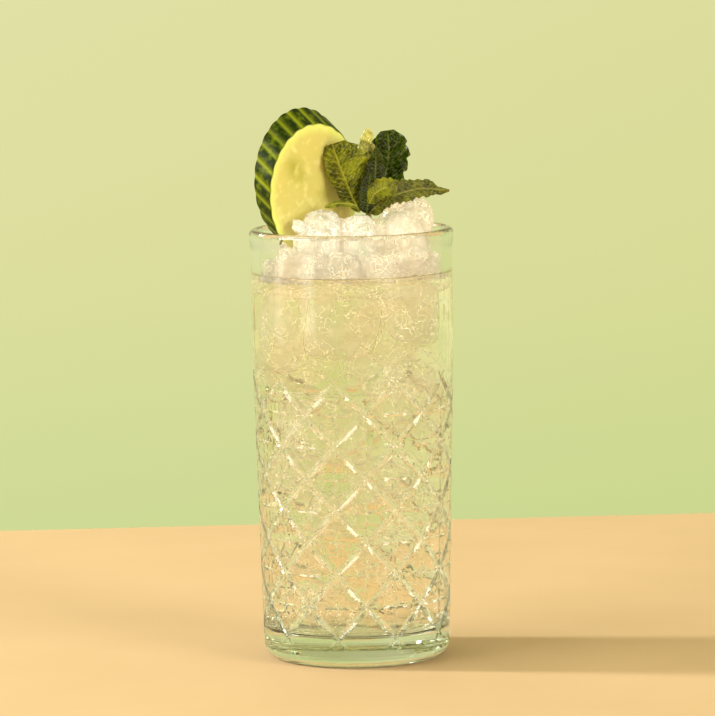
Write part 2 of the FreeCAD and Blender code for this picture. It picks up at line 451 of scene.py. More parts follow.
class Wire:
    """One output socket, with arithmetic that adds Math nodes."""

    def __init__(self, sheet: "Sheet", socket: bpy.types.NodeSocket) -> None:
        """Remember the sheet of nodes and the socket."""
        self.sheet = sheet
        self.socket = socket

    def maths(self, operation: str, *values: "Wire | float") -> "Wire":
        """A Math node on this value and up to two others."""
        sockets = dict(enumerate((self, *values)))
        return self.sheet.add("ShaderNodeMath", {"operation": operation}, sockets)

    def __add__(self, other: "Wire | float") -> "Wire":
        """self + other."""
        return self.maths("ADD", other)

    __radd__ = __add__

    def __mul__(self, other: "Wire | float") -> "Wire":
        """self * other."""
        return self.maths("MULTIPLY", other)

    __rmul__ = __mul__

    def __sub__(self, other: "Wire | float") -> "Wire":
        """self - other."""
        return self.maths("SUBTRACT", other)

    def __rsub__(self, other: float) -> "Wire":
        """other - self."""
        return (self * -1.0) + other

    def ramp(self, low: float, high: float) -> "Wire":
        """Zero at low, one at high, eased and clamped.

        Args:
            low: The value that becomes zero.
            high: The value that becomes one.
        Returns:
            The eased value.
        """
        settings = {"interpolation_type": "SMOOTHSTEP", "clamp": True}
        return self.sheet.add("ShaderNodeMapRange", settings, {0: self, 1: low, 2: high})


class Sheet:
    """The node tree of one material or world."""

    def __init__(self, tree: bpy.types.NodeTree) -> None:
        """Start from an empty tree."""
        self.tree = tree
        tree.nodes.clear()

    def node(self, kind: str, settings: dict[str, object],
             sockets: dict[str | int, object]) -> bpy.types.Node:
        """Add a node: its settings first, then the values or wires of its sockets.

        Args:
            kind: The node's type name.
            settings: Its attributes. The entry "stops" fills a colour ramp with
                pairs of place and colour.
            sockets: Input name or number to a value or a Wire.
        Returns:
            The node.
        """
        made = self.tree.nodes.new(kind)
        for key, value in settings.items():
            if key == "stops":
                self._fill_ramp(made.color_ramp, value)
            else:
                setattr(made, key, value)
        for key, value in sockets.items():
            if isinstance(value, Wire):
                self.tree.links.new(value.socket, made.inputs[key])
            else:
                made.inputs[key].default_value = value
        return made

    @staticmethod
    def _fill_ramp(ramp: bpy.types.ColorRamp, stops: list[tuple[float, Colour]]) -> None:
        """Give a colour ramp its stops.

        Args:
            ramp: The ramp.
            stops: Pairs of place and colour.
        """
        while len(ramp.elements) < len(stops):
            ramp.elements.new(0.5)
        for element, (place, colour) in zip(ramp.elements, stops):
            element.position = place
            element.color = (*colour, 1.0)

    def add(self, kind: str, settings: dict[str, object], sockets: dict[str | int, object],
            output: str | int = 0) -> Wire:
        """Add a node, as node does.

        Args:
            kind: The node's type name.
            settings: Its attributes.
            sockets: Input name or number to a value or a Wire.
            output: The name or number of the wanted output.
        Returns:
            That output.
        """
        return Wire(self, self.node(kind, settings, sockets).outputs[output])

    def place(self) -> Wire:
        """The point's own coordinates on its object, in metres."""
        return self.add("ShaderNodeTexCoord", {}, {}, "Object")

    def mark(self, name: str) -> Wire:
        """A value stored on the mesh's points."""
        return self.add("ShaderNodeAttribute", {"attribute_name": name}, {}, "Fac")

    def noise(self, size_mm: float, detail: float = 2.0, roughness: float = 0.5) -> Wire:
        """Noise whose blotches are about the given size.

        Args:
            size_mm: The size.
            detail: How many finer layers are added.
            roughness: How strong the finer layers are.
        Returns:
            A value from 0 to 1.
        """
        sockets = {"Scale": 1.0 / (size_mm * MM), "Detail": detail, "Roughness": roughness,
                   "Vector": self.place()}
        return self.add("ShaderNodeTexNoise", {}, sockets, "Fac")

    def cells(self, size_mm: float) -> Wire:
        """Distance from the middles of a field of cells of about the given size."""
        sockets = {"Scale": 1.0 / (size_mm * MM), "Vector": self.place()}
        return self.add("ShaderNodeTexVoronoi", {"feature": "F1"}, sockets, "Distance")

    def blend(self, share: Wire | float, low: Wire | Colour, high: Wire | Colour) -> Wire:
        """A colour between two colours.

        Args:
            share: Zero for the first colour and one for the second.
            low: The first colour.
            high: The second colour.
        Returns:
            The colour between them.
        """
        def full(colour: Wire | Colour) -> Wire | tuple[float, ...]:
            """A wire as it is, or a colour with an opaque fourth channel."""
            return colour if isinstance(colour, Wire) else (*colour, 1.0)
        return self.add("ShaderNodeMix", {"data_type": "RGBA"}, {0: share, 6: full(low), 7: full(high)}, 2)

    def bump(self, height: Wire, depth_mm: float) -> Wire:
        """A normal that follows a height from 0 to 1, over a depth in millimetres."""
        sockets = {"Height": height, "Distance": depth_mm * MM, "Strength": 1.0}
        return self.add("ShaderNodeBump", {}, sockets)

    def surface(self, **sockets: object) -> Wire:
        """A Principled shader.

        Args:
            sockets: Values or wires by socket name, with underscores for spaces.
        Returns:
            The shader.
        """
        named = {key.replace("_", " "): value for key, value in sockets.items()}
        for key in ("Base Color", "Emission Color"):
            if isinstance(named.get(key), tuple):
                named[key] = (*named[key], 1.0)
        return self.add("ShaderNodeBsdfPrincipled", {}, named)

    def finish(self, surface: Wire, volume: Wire | None = None) -> None:
        """Lead the shaders to the material's output.

        Args:
            surface: The shader of the surface.
            volume: The shader of what lies under it, if it is clear.
        """
        sockets: dict[str | int, object] = {"Surface": surface}
        if volume is not None:
            sockets["Volume"] = volume
        self.node("ShaderNodeOutputMaterial", {}, sockets)


def new_material(name: str) -> tuple[bpy.types.Material, Sheet]:
    """An empty material and its sheet of nodes.

    Args:
        name: The material's name.
    Returns:
        The material and the sheet.
    """
    material = bpy.data.materials.new(name)
    material.use_nodes = True
    return material, Sheet(material.node_tree)


class Depth(Enum):
    """Whether a clear body colours the light by how far it passes through it."""

    NONE = 0
    TINTED = 1


@dataclass(frozen=True)
class ClearFinish:
    """A clear body: glass, drink, ice or air."""

    name: str
    bend: float
    roughness: float = 0.0
    tint: Colour = (1.0, 1.0, 1.0)
    depth: Depth = Depth.NONE
    depth_colour: Colour = (1.0, 1.0, 1.0)
    depth_density: float = 0.0
    wave_mm: float = 0.0
    wave_size_mm: float = 4.0
    # painted light: share of a pale diffuse white mixed into the cuts, so the grooves read lighter
    painted_groove_light: float = 0.0
    painted_groove_light_colour: Colour = (0.96, 0.95, 0.76)
    painted_groove_light_roughness: float = 0.45

    def make(self) -> bpy.types.Material:
        """Build the material; where it is cut, it is mixed towards a soft diffuse white: painted light that
        lightens the grooves.

        Returns:
            The material.
        """
        material, sheet = new_material(self.name)
        sockets = {"Base_Color": self.tint, "Transmission_Weight": 1.0, "IOR": self.bend,
                   "Roughness": self.roughness}
        if self.wave_mm > 0.0:
            height = sheet.noise(self.wave_size_mm)
            sockets["Normal"] = sheet.bump(height, self.wave_mm)
        volume = None
        if self.depth is Depth.TINTED:
            settings = {"Color": (*self.depth_colour, 1.0), "Density": self.depth_density}
            volume = sheet.add("ShaderNodeVolumeAbsorption", {}, settings)
        shader = sheet.surface(**sockets)
        # Painted light: deeper cuts are mixed further towards the pale white.
        if self.painted_groove_light > 0.0:
            share = sheet.mark("cut").ramp(0.05, 0.6) * self.painted_groove_light
            soft = sheet.surface(Base_Color=self.painted_groove_light_colour, Roughness=self.painted_groove_light_roughness)
            shader = sheet.add("ShaderNodeMixShader", {}, {0: share, 1: shader, 2: soft})
        sheet.finish(shader, volume)
        return material


# The cut glass carries painted light: a pale white mixed into its grooves.
CUT_GLASS = ClearFinish("cut_glass_clear", 1.5, depth=Depth.TINTED,
                        depth_colour=(0.70, 0.84, 0.65), depth_density=14.5,
                        wave_mm=0.03, wave_size_mm=16.0, painted_groove_light=0.13)
DRINK = ClearFinish("pale_drink", 1.34, depth=Depth.TINTED,
                    depth_colour=(0.92, 0.85, 0.53), depth_density=9.5)
SUNK_ICE = ClearFinish("sunk_ice", 0.988)
AIR_IN_DRINK = ClearFinish("air_in_drink", 0.84)


@dataclass(frozen=True)
class CloudFinish:
    """The cloudy heart of a piece of ice: thin winding lines of air, and a fog. Its emission is painted
    light: a faint glow over the heart, and painted glints along the lines.
    """

    name: str
    milk: Colour
    fog: float
    # painted glow: the emission strength, as if light were scattered inside the ice
    painted_glow: float
    lines: float = 0.9
    line_size_mm: float = 2.6
    line_half_width: float = 0.018
    # painted glints: the emission colour of the lines
    line_painted_glint: Colour = (3.4, 3.2, 2.2)

    def make(self) -> bpy.types.Material:
        """Build the material: alpha is high where a noise field passes through its middle value. The emission
        paints a glow on the heart and glints on the lines.

        Returns:
            The material.
        """
        material, sheet = new_material(self.name)
        away = (sheet.noise(self.line_size_mm, 2.0, 0.6) - 0.5).maths("ABSOLUTE")
        line = (1.0 - away.ramp(0.0, self.line_half_width)) * sheet.noise(8.0).ramp(0.42, 0.58)
        veil = sheet.noise(9.0).ramp(0.25, 0.62) * sheet.mark("fog") * self.fog
        alpha = (line * self.lines + veil).maths("MINIMUM", 1.0)
        # Painted glints: the lines emit a brighter colour than the fog around them.
        painted_glint_colour = sheet.blend(line, self.milk, self.line_painted_glint)
        shader = sheet.surface(Base_Color=self.milk, Roughness=0.6, Alpha=alpha,
                               Emission_Color=painted_glint_colour, Emission_Strength=self.painted_glow)
        sheet.finish(shader)
        return material


CLEAR_ICE = ClearFinish("clear_ice", 1.31, roughness=0.03, wave_mm=0.34, wave_size_mm=2.6)
# In each heart, the value after the fog is its painted glow: the emission strength.
ICE_HEART = CloudFinish("ice_heart", (0.96, 0.86, 0.68), 0.80, 0.23,
                        line_size_mm=3.6, line_half_width=0.025)
# Painted highlight: a whiter, more glowing copy of the heart, for the front lumps.
PAINTED_HIGHLIGHT_HEART = CloudFinish("painted_highlight_heart", (1.0, 0.95, 0.85), 0.60, 0.26,
                           line_size_mm=3.4, line_half_width=0.03)
SUNK_HEART = CloudFinish("sunk_heart", (0.96, 0.83, 0.52), 0.58, 0.25,
                         line_size_mm=3.0, line_half_width=0.013)


@dataclass(frozen=True)
class CucumberFinish:
    """Moist yellow-green flesh inside a dark, ribbed, striped rind."""

    flesh: Colour = tone(219, 207, 121)
    flesh_pale: Colour = tone(252, 246, 176)
    flesh_deep: Colour = tone(184, 178, 70)
    flesh_edge: Colour = tone(226, 230, 132)
    rind: Colour = tone(28, 42, 0)
    rind_light: Colour = tone(88, 102, 8)
    stripe: Colour = tone(134, 144, 24)

    def make(self) -> bpy.types.Material:
        """Build the material from the marks rind, stripe, seed and edge.

        Returns:
            The material.
        """
        material, sheet = new_material("cucumber")
        grain = sheet.noise(1.2, 3.0)
        mottle = sheet.noise(5.0, 3.0)
        flesh = sheet.blend(sheet.noise(3.4, 3.0).ramp(0.5, 0.72) * 0.45, self.flesh, self.flesh_pale)
        flesh = sheet.blend(sheet.mark("seed") * mottle.ramp(0.25, 0.5), flesh, self.flesh_deep)
        flesh = sheet.blend(sheet.mark("edge"), flesh, self.flesh_edge)
        skin = sheet.blend(sheet.noise(2.2, 3.0).ramp(0.45, 0.75), self.rind, self.rind_light)
        skin = sheet.blend(sheet.mark("stripe"), skin, self.stripe)
        rind = sheet.mark("rind")
        normal = sheet.bump(grain * 0.5 + mottle, 0.25)
        wet = sheet.surface(Base_Color=flesh, Roughness=0.38, Subsurface_Weight=0.7,
                            Subsurface_Radius=(1.0, 0.9, 0.35), Subsurface_Scale=0.005, Normal=normal)
        tough = sheet.surface(Base_Color=skin, Roughness=0.45, Specular_IOR_Level=0.12, Normal=normal)
        sheet.finish(sheet.add("ShaderNodeMixShader", {}, {0: rind, 1: wet, 2: tough}))
        return material


@dataclass(frozen=True)
class MintFinish:
    """A fresh leaf: pale veins, painted shade laid over the blade in noise patches, painted highlight specks,
    and a soft sheen.
    """

    name: str
    blade: Colour
    vein: Colour
    # painted shade: the dark colour that noise patches mix over the blade
    shade: Colour

    def make(self) -> bpy.types.Material:
        """Build the material from the mark vein.

        Returns:
            The material.
        """
        material, sheet = new_material(self.name)
        mottle = sheet.noise(1.6, 3.0, 0.6)
        # Painted light and shade: noise patches mix the blade between its lit colour and the painted shade,
        # then darken larger patches.
        painted_lit_share = mottle.ramp(0.3, 0.7) * 0.5 + sheet.noise(4.5).ramp(0.43, 0.57) * 0.5
        blade = sheet.blend(painted_lit_share, self.shade, self.blade)
        blade = sheet.blend(sheet.noise(7.0, 1.0).ramp(0.5, 0.66) * 0.55, blade, self.shade)
        colour = sheet.blend(sheet.mark("vein"), blade, self.vein)
        # Painted highlights: small specks of the vein colour, standing in for glints on the crumpled blade.
        colour = sheet.blend(sheet.noise(0.9).ramp(0.60, 0.72) * 0.5, colour, self.vein)
        height = sheet.cells(0.9) * 0.7 + mottle
        shader = sheet.surface(Base_Color=colour, Roughness=mottle * 0.25 + 0.28, Specular_IOR_Level=0.25,
                               Subsurface_Weight=0.25, Subsurface_Radius=(0.7, 1.0, 0.15),
                               Subsurface_Scale=0.0015, Normal=sheet.bump(height, 0.32))
        sheet.finish(shader)
        return material


# Four copies of one mint colour, each lighter or darker by how its leaves are lit: painted light and shade.
# The third is painted shade for leaves in shadow, and the fourth a much lighter copy, painted light for a
# brightly lit leaf.
MINT_LEFT = MintFinish("mint_left", tone(140, 142, 4), tone(186, 182, 72), tone(24, 34, 0))
MINT_RIGHT = MintFinish("mint_right", tone(108, 108, 6), tone(172, 164, 84), tone(20, 26, 0))
MINT_SHADED = MintFinish("mint_shaded", tone(44, 56, 0), tone(118, 126, 40), tone(2, 6, 0))
MINT_LIT = MintFinish("mint_lit", tone(232, 222, 118), tone(240, 232, 156), tone(116, 110, 30))


# ---- The glass ---------------------------------------------------------------------


@dataclass
class Tumbler:
    """The cut-glass tumbler: a lathe form with a lattice of V grooves in its wall.

    Sizes are in millimetres. A cell is the number of points from one crossing of the
    lattice to the next, both round the wall and up it.
    """

    height: float
    lip_radius: float
    lip_flare: float = 0.5
    heel_top_radius: float = 30.8
    straight_band: float = 38.0
    heel_round: float = 4.8
    foot_hollow: float = 0.8
    foot_ring: float = 5.5
    lip_height: float = 7.0
    wall: float = 3.3
    base: float = 9.5
    inner_round: float = 4.0
    cut_columns: int = 10
    cut_rows: int = 9
    cut_first_row: float = 9.85
    cut_top_margin: float = 9.75
    cut_turn_deg: float = -101.5
    cut_depth: float = 0.24
    cut_half_angle_deg: float = 62.0
    cut_fade: float = 0.30
    fine_cuts: tuple[tuple[float, float, float], ...] = ((1.0, 0.50, 0.30), (0.0, 0.34, 0.50))
    fine_slope: float = 0.62
    fine_margin: float = 0.4
    cell: int = 19
    round_rings: int = 9
    flat_rings: int = 6
    pole_radius: float = 2.0
    level_below_rim: float = 15.0
    bite: float = 0.18
    flutes: tuple[int, ...] = (7, 13, 22, 31)
    flute_depth: float = 0.025
    flute_band: float = 4.0
    meniscus: float = 0.9
    meniscus_width: float = 0.8
    drink_columns: int = 320

    @property
    def rim_radius(self) -> float:
        """Outside radius of the straight band."""
        return self.lip_radius - self.lip_flare

    @property
    def taper_top(self) -> float:
        """Height where the cone meets the straight band."""
        return self.height - self.straight_band

    @property
    def inner_radius(self) -> float:
        """Inside radius of the straight band."""
        return self.rim_radius - self.wall

    @property
    def lip_round(self) -> float:
        """Radius of the rounded lip, which is as thick as the wall and its flare."""
        return 0.5 * (self.lip_radius - self.inner_radius)

    @property
    def level(self) -> float:
        """Height of the drink."""
        return self.height - self.level_below_rim

    @property
    def row_step(self) -> float:
        """Height from one row of crossings to the next."""
        return (self.taper_top - self.cut_top_margin - self.cut_first_row) / (self.cut_rows - 1)

    def outer(self, z: Array) -> Array:
        """Outside radius before cutting: a cone, a straight band, and a flared lip.

        Args:
            z: Heights.
        Returns:
            The radius at each height.
        """
        share = np.clip((z - self.heel_round) / (self.taper_top - self.heel_round), 0.0, 1.0)
        cone = self.heel_top_radius + (self.rim_radius - self.heel_top_radius) * share
        return cone + self.lip_flare * smooth_step(self.height - self.lip_height, self.height - 1.0, z)

    def inner(self, z: Array) -> Array:
        """Inside radius above the rounded floor.

        Args:
            z: Heights.
        Returns:
            The radius at each height.
        """
        share = np.clip((z - self.heel_round) / (self.taper_top - self.heel_round), 0.0, 1.0)
        return self.heel_top_radius + (self.rim_radius - self.heel_top_radius) * share - self.wall

    def groove_depth(self, column: Array, row: Array, radius: Array) -> Array:
        """Depth of the cuts at a place in the lattice.

        Crossings lie where the half-column and row numbers are whole and add up to an
        even number. A groove is a straight V between two of them, so its bottom is a
        chord of the round wall: cut depth at its ends, and the chord's sagitta more in
        the middle. Its sides rise from the bottom by distance over tan(half angle).
        Finer upright and level cuts, lens-shaped, cross in the middle of each diamond
        and at each crossing. Each entry of fine_cuts has the oddness of those places,
        the cut's reach as a share of the row step, and its depth.

        Args:
            column: Half-column numbers.
            row: Row numbers.
            radius: Outside radius there.
        Returns:
            The depth below the uncut wall.
        """
        step = math.pi / self.cut_columns
        across = radius * step
        rise = self.row_step
        run = np.hypot(across, rise)
        sagitta = radius * (1.0 - math.cos(0.5 * step))
        along = row - np.clip(np.floor(row), 0, self.cut_rows - 2)
        bottom = self.cut_depth + sagitta * np.clip(1.0 - (2.0 * along - 1.0) ** 2, 0.0, 1.0)
        bottom = bottom - self.cut_depth * np.clip(np.maximum(-along, along - 1.0), 0.0, None) / self.cut_fade
        slope = 1.0 / math.tan(math.radians(self.cut_half_angle_deg))
        depth = np.zeros_like(row)
        for sign in (-1.0, 1.0):
            offset = column + sign * row
            offset = np.abs(offset - 2.0 * np.round(offset / 2.0)) * across * rise / run
            depth = np.maximum(depth, bottom - offset * slope)
        inside = (row > self.fine_margin) & (row < self.cut_rows - 1 - self.fine_margin)
        for parity, reach, fine in self.fine_cuts:
            near_row, near_column = self._nearest(column, row, parity)
            level = np.abs(row - near_row) * rise
            upright = np.abs(column - near_column) * across
            for side, length in ((upright, level), (level, upright)):
                lens = fine * (1.0 - (length / (reach * rise)) ** 2)
                depth = np.maximum(depth, np.where(inside, lens - side * self.fine_slope, 0.0))
        return np.maximum(depth, 0.0)

    @staticmethod
    def _nearest(column: Array, row: Array, parity: float) -> tuple[Array, Array]:
        """The nearest whole row and column that add up to an even or odd number.

        Args:
            column: Half-column numbers.
            row: Row numbers.
            parity: Zero for even and one for odd.
        Returns:
            The whole row and the whole column.
        """
        whole_row = np.round(row)
        want = np.mod(whole_row + parity, 2.0)
        whole_column = 2.0 * np.round((column - want) / 2.0) + want
        return whole_row, whole_column

    def _foot(self) -> tuple[Array, Array]:
        """From the middle of the hollow foot out to its ring and up the rounded heel.

        Returns:
            The radius and height of each ring.
        """
        foot = self.heel_top_radius - self.heel_round
        hollow = foot - self.foot_ring
        quarter = np.radians(np.linspace(0.0, 90.0, self.round_rings))
        inner_r = np.linspace(self.pole_radius, hollow - self.foot_hollow, self.flat_rings)
        heel_r = foot + self.heel_round * np.sin(quarter)
        heel_z = self.heel_round * (1.0 - np.cos(quarter))
        return (np.concatenate([inner_r, [hollow], heel_r]),
                np.concatenate([np.full(self.flat_rings, self.foot_hollow), [0.0], heel_z]))

    def _lip_and_inside(self) -> tuple[Array, Array]:
        """Over the rounded lip, down the inside, round the floor's corner and in to its middle.

        Returns:
            The radius and height of each ring.
        """
        over = np.radians(np.linspace(15.0, 180.0, 12))
        over_r = self.inner_radius + self.lip_round + self.lip_round * np.cos(over)
        over_z = self.height - self.lip_round + self.lip_round * np.sin(over)
        inside_z = np.linspace(self.height - self.lip_round - 2.0, self.base + self.inner_round, 24)
        inside_r = self.inner(inside_z)
        turn = np.radians(np.linspace(0.0, 90.0, self.round_rings))[1:]
        corner_r = inside_r[-1] - self.inner_round * (1.0 - np.cos(turn))
        corner_z = self.base + self.inner_round * (1.0 - np.sin(turn))
        floor_r = np.linspace(corner_r[-1], self.pole_radius, self.flat_rings)[1:]
        return (np.concatenate([over_r, inside_r, corner_r, floor_r]),
                np.concatenate([over_z, inside_z, corner_z, np.full(len(floor_r), self.base)]))

    def surface(self) -> Surface:
        """The whole glass: under the foot, up the cut wall, over the lip and down inside.

        Returns:
            The closed glass. Its mark "cut" is each point's depth as a share of the deepest.
        """
        columns = 2 * self.cut_columns * self.cell
        bearing = math.radians(self.cut_turn_deg) + np.arange(columns) * TAU / columns
        overrun = self.cell // 2
        rows = np.arange(-overrun, (self.cut_rows - 1) * self.cell + overrun) / self.cell
        band_z = self.cut_first_row + rows * self.row_step
        top_z = np.linspace(band_z[-1] + 2.0, self.height - self.lip_height, 8)
        lip_z = np.linspace(self.height - self.lip_height + 0.8, self.height - self.lip_round, 6)
        outer_z = np.concatenate([band_z, top_z, lip_z])
        foot_r, foot_z = self._foot()
        inside_r, inside_z = self._lip_and_inside()
        profile_r = np.concatenate([foot_r, self.outer(outer_z), inside_r])
        profile_z = np.concatenate([foot_z, outer_z, inside_z])
        radius = np.repeat(profile_r[:, None], columns, 1)
        depth = np.zeros_like(radius)
        column = np.arange(columns)[None, :] / self.cell
        band = slice(len(foot_r), len(foot_r) + len(band_z))
        depth[band] = self.groove_depth(np.broadcast_to(column, (len(rows), columns)),
                                        np.broadcast_to(rows[:, None], (len(rows), columns)),
                                        self.outer(band_z)[:, None])
        surface = lathe(radius - depth, np.repeat(profile_z[:, None], columns, 1), bearing)
        depths = np.concatenate([depth.ravel(), [0.0, 0.0]])
        surface.marks = {"cut": depths / depths.max()}
        return split_along_valleys(surface, depths)

    def drink_surface(self) -> Surface:
        """The drink: it reaches just into the wall and floor, with a meniscus at its edge.

        Faint upright flutes, a sum of cosines round the bearing, run up its side.

        Returns:
            The closed drink.
        """
        bearing = np.arange(self.drink_columns) * TAU / self.drink_columns
        bottom = self.base - self.bite
        quarter = np.radians(np.linspace(90.0, 0.0, self.round_rings))
        side_z = np.linspace(self.base + self.inner_round, self.level + self.meniscus, 30)
        side_r = self.inner(side_z) + self.bite
        turn_r = side_r[0] - self.inner_round * (1.0 - np.cos(quarter[:-1]))
        turn_z = bottom + self.inner_round * (1.0 - np.sin(quarter[:-1]))
        inward = np.linspace(0.2, 1.0, 10) ** 2
        top_r = (self.inner_radius + self.bite) * (1.0 - inward * 0.96)
        top_z = self.level + self.meniscus * np.exp(-(side_r[-1] - top_r) / self.meniscus_width)
        low_r = np.linspace(self.pole_radius, turn_r[0], self.flat_rings)[:-1]
        radius = np.concatenate([low_r, turn_r, side_r, top_r])
        height = np.concatenate([np.full(len(low_r), bottom), turn_z, side_z, top_z])
        waves = sum(np.cos(count * bearing + count) for count in self.flutes) * self.flute_depth
        share = np.where(radius > self.inner_radius - self.flute_band, 1.0, 0.0)[:, None]
        heights = np.repeat(height[:, None], self.drink_columns, 1)
        return lathe(radius[:, None] + waves[None] * share, heights, bearing)

    def build(self) -> None:
        """Make the glass and the drink."""
        make_piece("cut_glass", self.surface(), CUT_GLASS.make(), ("glass",), 11.0)
        make_piece("drink_body", self.drink_surface(), DRINK.make(), ("drink",), 40.0)


# ---- Ice and bubbles ---------------------------------------------------------------


@dataclass(frozen=True)
class Block:
    """One block of clear ice: its middle, half sizes, turn in degrees and crispness."""

    centre: Place
    half: tuple[float, float, float]
    turn: tuple[float, float, float]
    crispness: float = 14.0


@dataclass(frozen=True)
class LumpShape:
    """How a chunk that rises out of the drink is faceted, rippled and slimmed."""

    crispness: float
    chips: int
    ripple_size: float
    ripple_depth: float
    skew: float
    slim: float


@dataclass
class IceHeap:
    """Ice: lumps that rise out of the drink, blocks sunk in it, and trapped air."""

    tumbler: Tumbler
    seed: int = 7
    layers: int = 4
    layer_top: float = 68.0
    block_half: float = 9.4
    ripple_size: float = 3.4
    ripple_depth: float = 0.12
    heart_share: float = 0.88
    # lumps whose hearts get painted highlight: a whiter, more glowing heart
    painted_highlight_lumps: tuple[str, ...] = ("ice_front", "ice_middle", "ice_chip")
    dip: float = 1.5
    heart_lift: float = 0.6
    core_share: float = 0.88
    slush_half: tuple[float, float, float] = (27.5, 27.5, 3.4)
    slush_depth: float = 4.4
    slush_fog: float = 0.75
    ring_radius: float = 14.4
    bubble_count: int = 420
    bubble_radius: float = 0.16
    bubble_spread: float = 0.42
    flaw_count: int = 360
    flaw_length: float = 0.25
    flaw_spread: float = 1.3

    def floating_blocks(self) -> list[Block]:
        """Ice that floats between the chunks, with its top a little above the drink.

        Returns:
            The blocks.
        """
        level = self.tumbler.level
        return [
            Block((-20.0, -4.0, level + 1.5), (6.0, 8.0, 5.5), (20.0, 8.0, 0.0), 6.0),
            Block((-5.0, 4.0, level + 4.0), (8.0, 7.0, 7.0), (0.0, 10.0, 10.0), 7.0),
            Block((11.0, -1.5, level + 4.5), (7.0, 6.0, 7.5), (30.0, 0.0, 10.0), 6.0),
            Block((23.0, -2.5, level + 2.5), (5.5, 7.0, 6.5), (10.0, 0.0, 0.0), 4.0),
            Block((-18.0, -16.5, level + 4.0), (5.6, 4.0, 7.0), (20.0, 12.0, 6.0), 12.0),
            Block((-24.0, -9.0, level + 1.0), (4.0, 5.0, 5.0), (-20.0, 0.0, 12.0), 10.0),
            Block((-3.0, -14.0, level + 3.5), (6.5, 3.5, 6.0), (25.0, 10.0, 0.0), 9.0),
            Block((9.5, -14.0, level + 2.5), (6.0, 3.5, 6.0), (-20.0, 10.0, 0.0), 9.0),
            Block((19.0, -15.5, level + 6.5), (5.0, 3.4, 4.0), (30.0, -38.0, 10.0), 14.0),
            Block((25.5, -6.0, level + 3.0), (3.0, 5.0, 5.0), (10.0, 10.0, 0.0), 9.0),
            Block((-1.8, -7.5, level + 12.5), (3.2, 4.5, 6.5), (10.0, 10.0, 0.0), 10.0),
            Block((-14.8, -14.0, level + 9.0), (4.6, 3.2, 6.2), (10.0, 8.0, 10.0), 12.0),
            Block((8.6, -8.0, level + 12.0), (2.8, 4.0, 5.5), (30.0, 14.0, 0.0), 9.0),
            Block((-2.0, 12.0, level + 0.5), (6.0, 5.0, 4.0), (35.0, 0.0, 10.0), 8.0),
        ]

    def upper_blocks(self) -> list[Block]:
        """The larger blocks in the upper half, where the wall is plain and they show best.

        Returns:
            The blocks.
        """
        return [
            Block((-9.5, -13.0, 77.0), (15.5, 12.0, 12.5), (6.0, 2.0, 0.0), 22.0),
            Block((-2.0, -16.0, 113.5), (11.5, 9.0, 14.5), (0.0, 12.0, 8.0), 5.0),
            Block((17.0, -12.0, 115.0), (9.5, 9.0, 12.5), (20.0, 0.0, 0.0), 5.0),
            Block((-20.0, -8.0, 111.0), (8.5, 10.0, 17.0), (25.0, 5.0, 0.0), 9.0),
            Block((5.0, -15.0, 95.5), (9.0, 7.0, 6.5), (10.0, 38.0, 5.0), 12.0),
            Block((17.0, -9.0, 92.0), (8.0, 9.5, 11.0), (-15.0, -28.0, 10.0), 14.0),
            Block((-14.0, 12.0, 96.0), (10.0, 9.0, 10.0), (40.0, 10.0, 10.0), 12.0),
            Block((9.0, 14.0, 108.0), (11.0, 9.0, 12.0), (-20.0, 15.0, 0.0), 10.0),
            Block((12.0, 12.0, 82.0), (10.0, 9.0, 10.0), (15.0, 25.0, 20.0), 14.0),
        ]

    def lower_blocks(self, rng: np.random.Generator) -> list[Block]:
        """Blocks in the lower half, in layers of three that turn from one to the next.

        Args:
            rng: Where their unevenness comes from.
        Returns:
            The blocks, from the lowest layer up.
        """
        blocks = []
        low = self.tumbler.base + 3.0
        step = (self.layer_top - low) / self.layers
        for layer in range(self.layers):
            for k in range(3):
                bearing = TAU * (k / 3.0 + 0.17 * layer) + rng.normal(0.0, 0.12)
                half = self.block_half * rng.uniform(0.80, 1.05, 3)
                centre = (self.ring_radius * math.cos(bearing), self.ring_radius * math.sin(bearing),
                          low + step * (layer + 0.5) + rng.normal(0.0, 1.2))
                turn = (math.degrees(bearing) + rng.normal(0.0, 14.0),
                        rng.normal(0.0, 14.0), rng.normal(0.0, 14.0))
                blocks.append(Block(centre, tuple(half), turn))
        return blocks

    @staticmethod
    def rough(body: Surface, rng: np.random.Generator, size: float, depth: float) -> Surface:
        """Push the surface in and out by an uneven ripple, along the way from its middle.

        Args:
            body: A lump about the origin.
            rng: Where the ripple comes from.
            size: Length of the longer waves; the shorter ones are about a third of it.
            depth: Height of the longer waves.
        Returns:
            The same lump, rippled.
        """
        outward = body.points / np.linalg.norm(body.points, axis=1, keepdims=True)
        shift = ripple(body.points, rng, size) * depth + ripple(body.points, rng, size * 0.35) * depth * 0.3
        body.points = body.points + outward * shift[:, None]
        return body

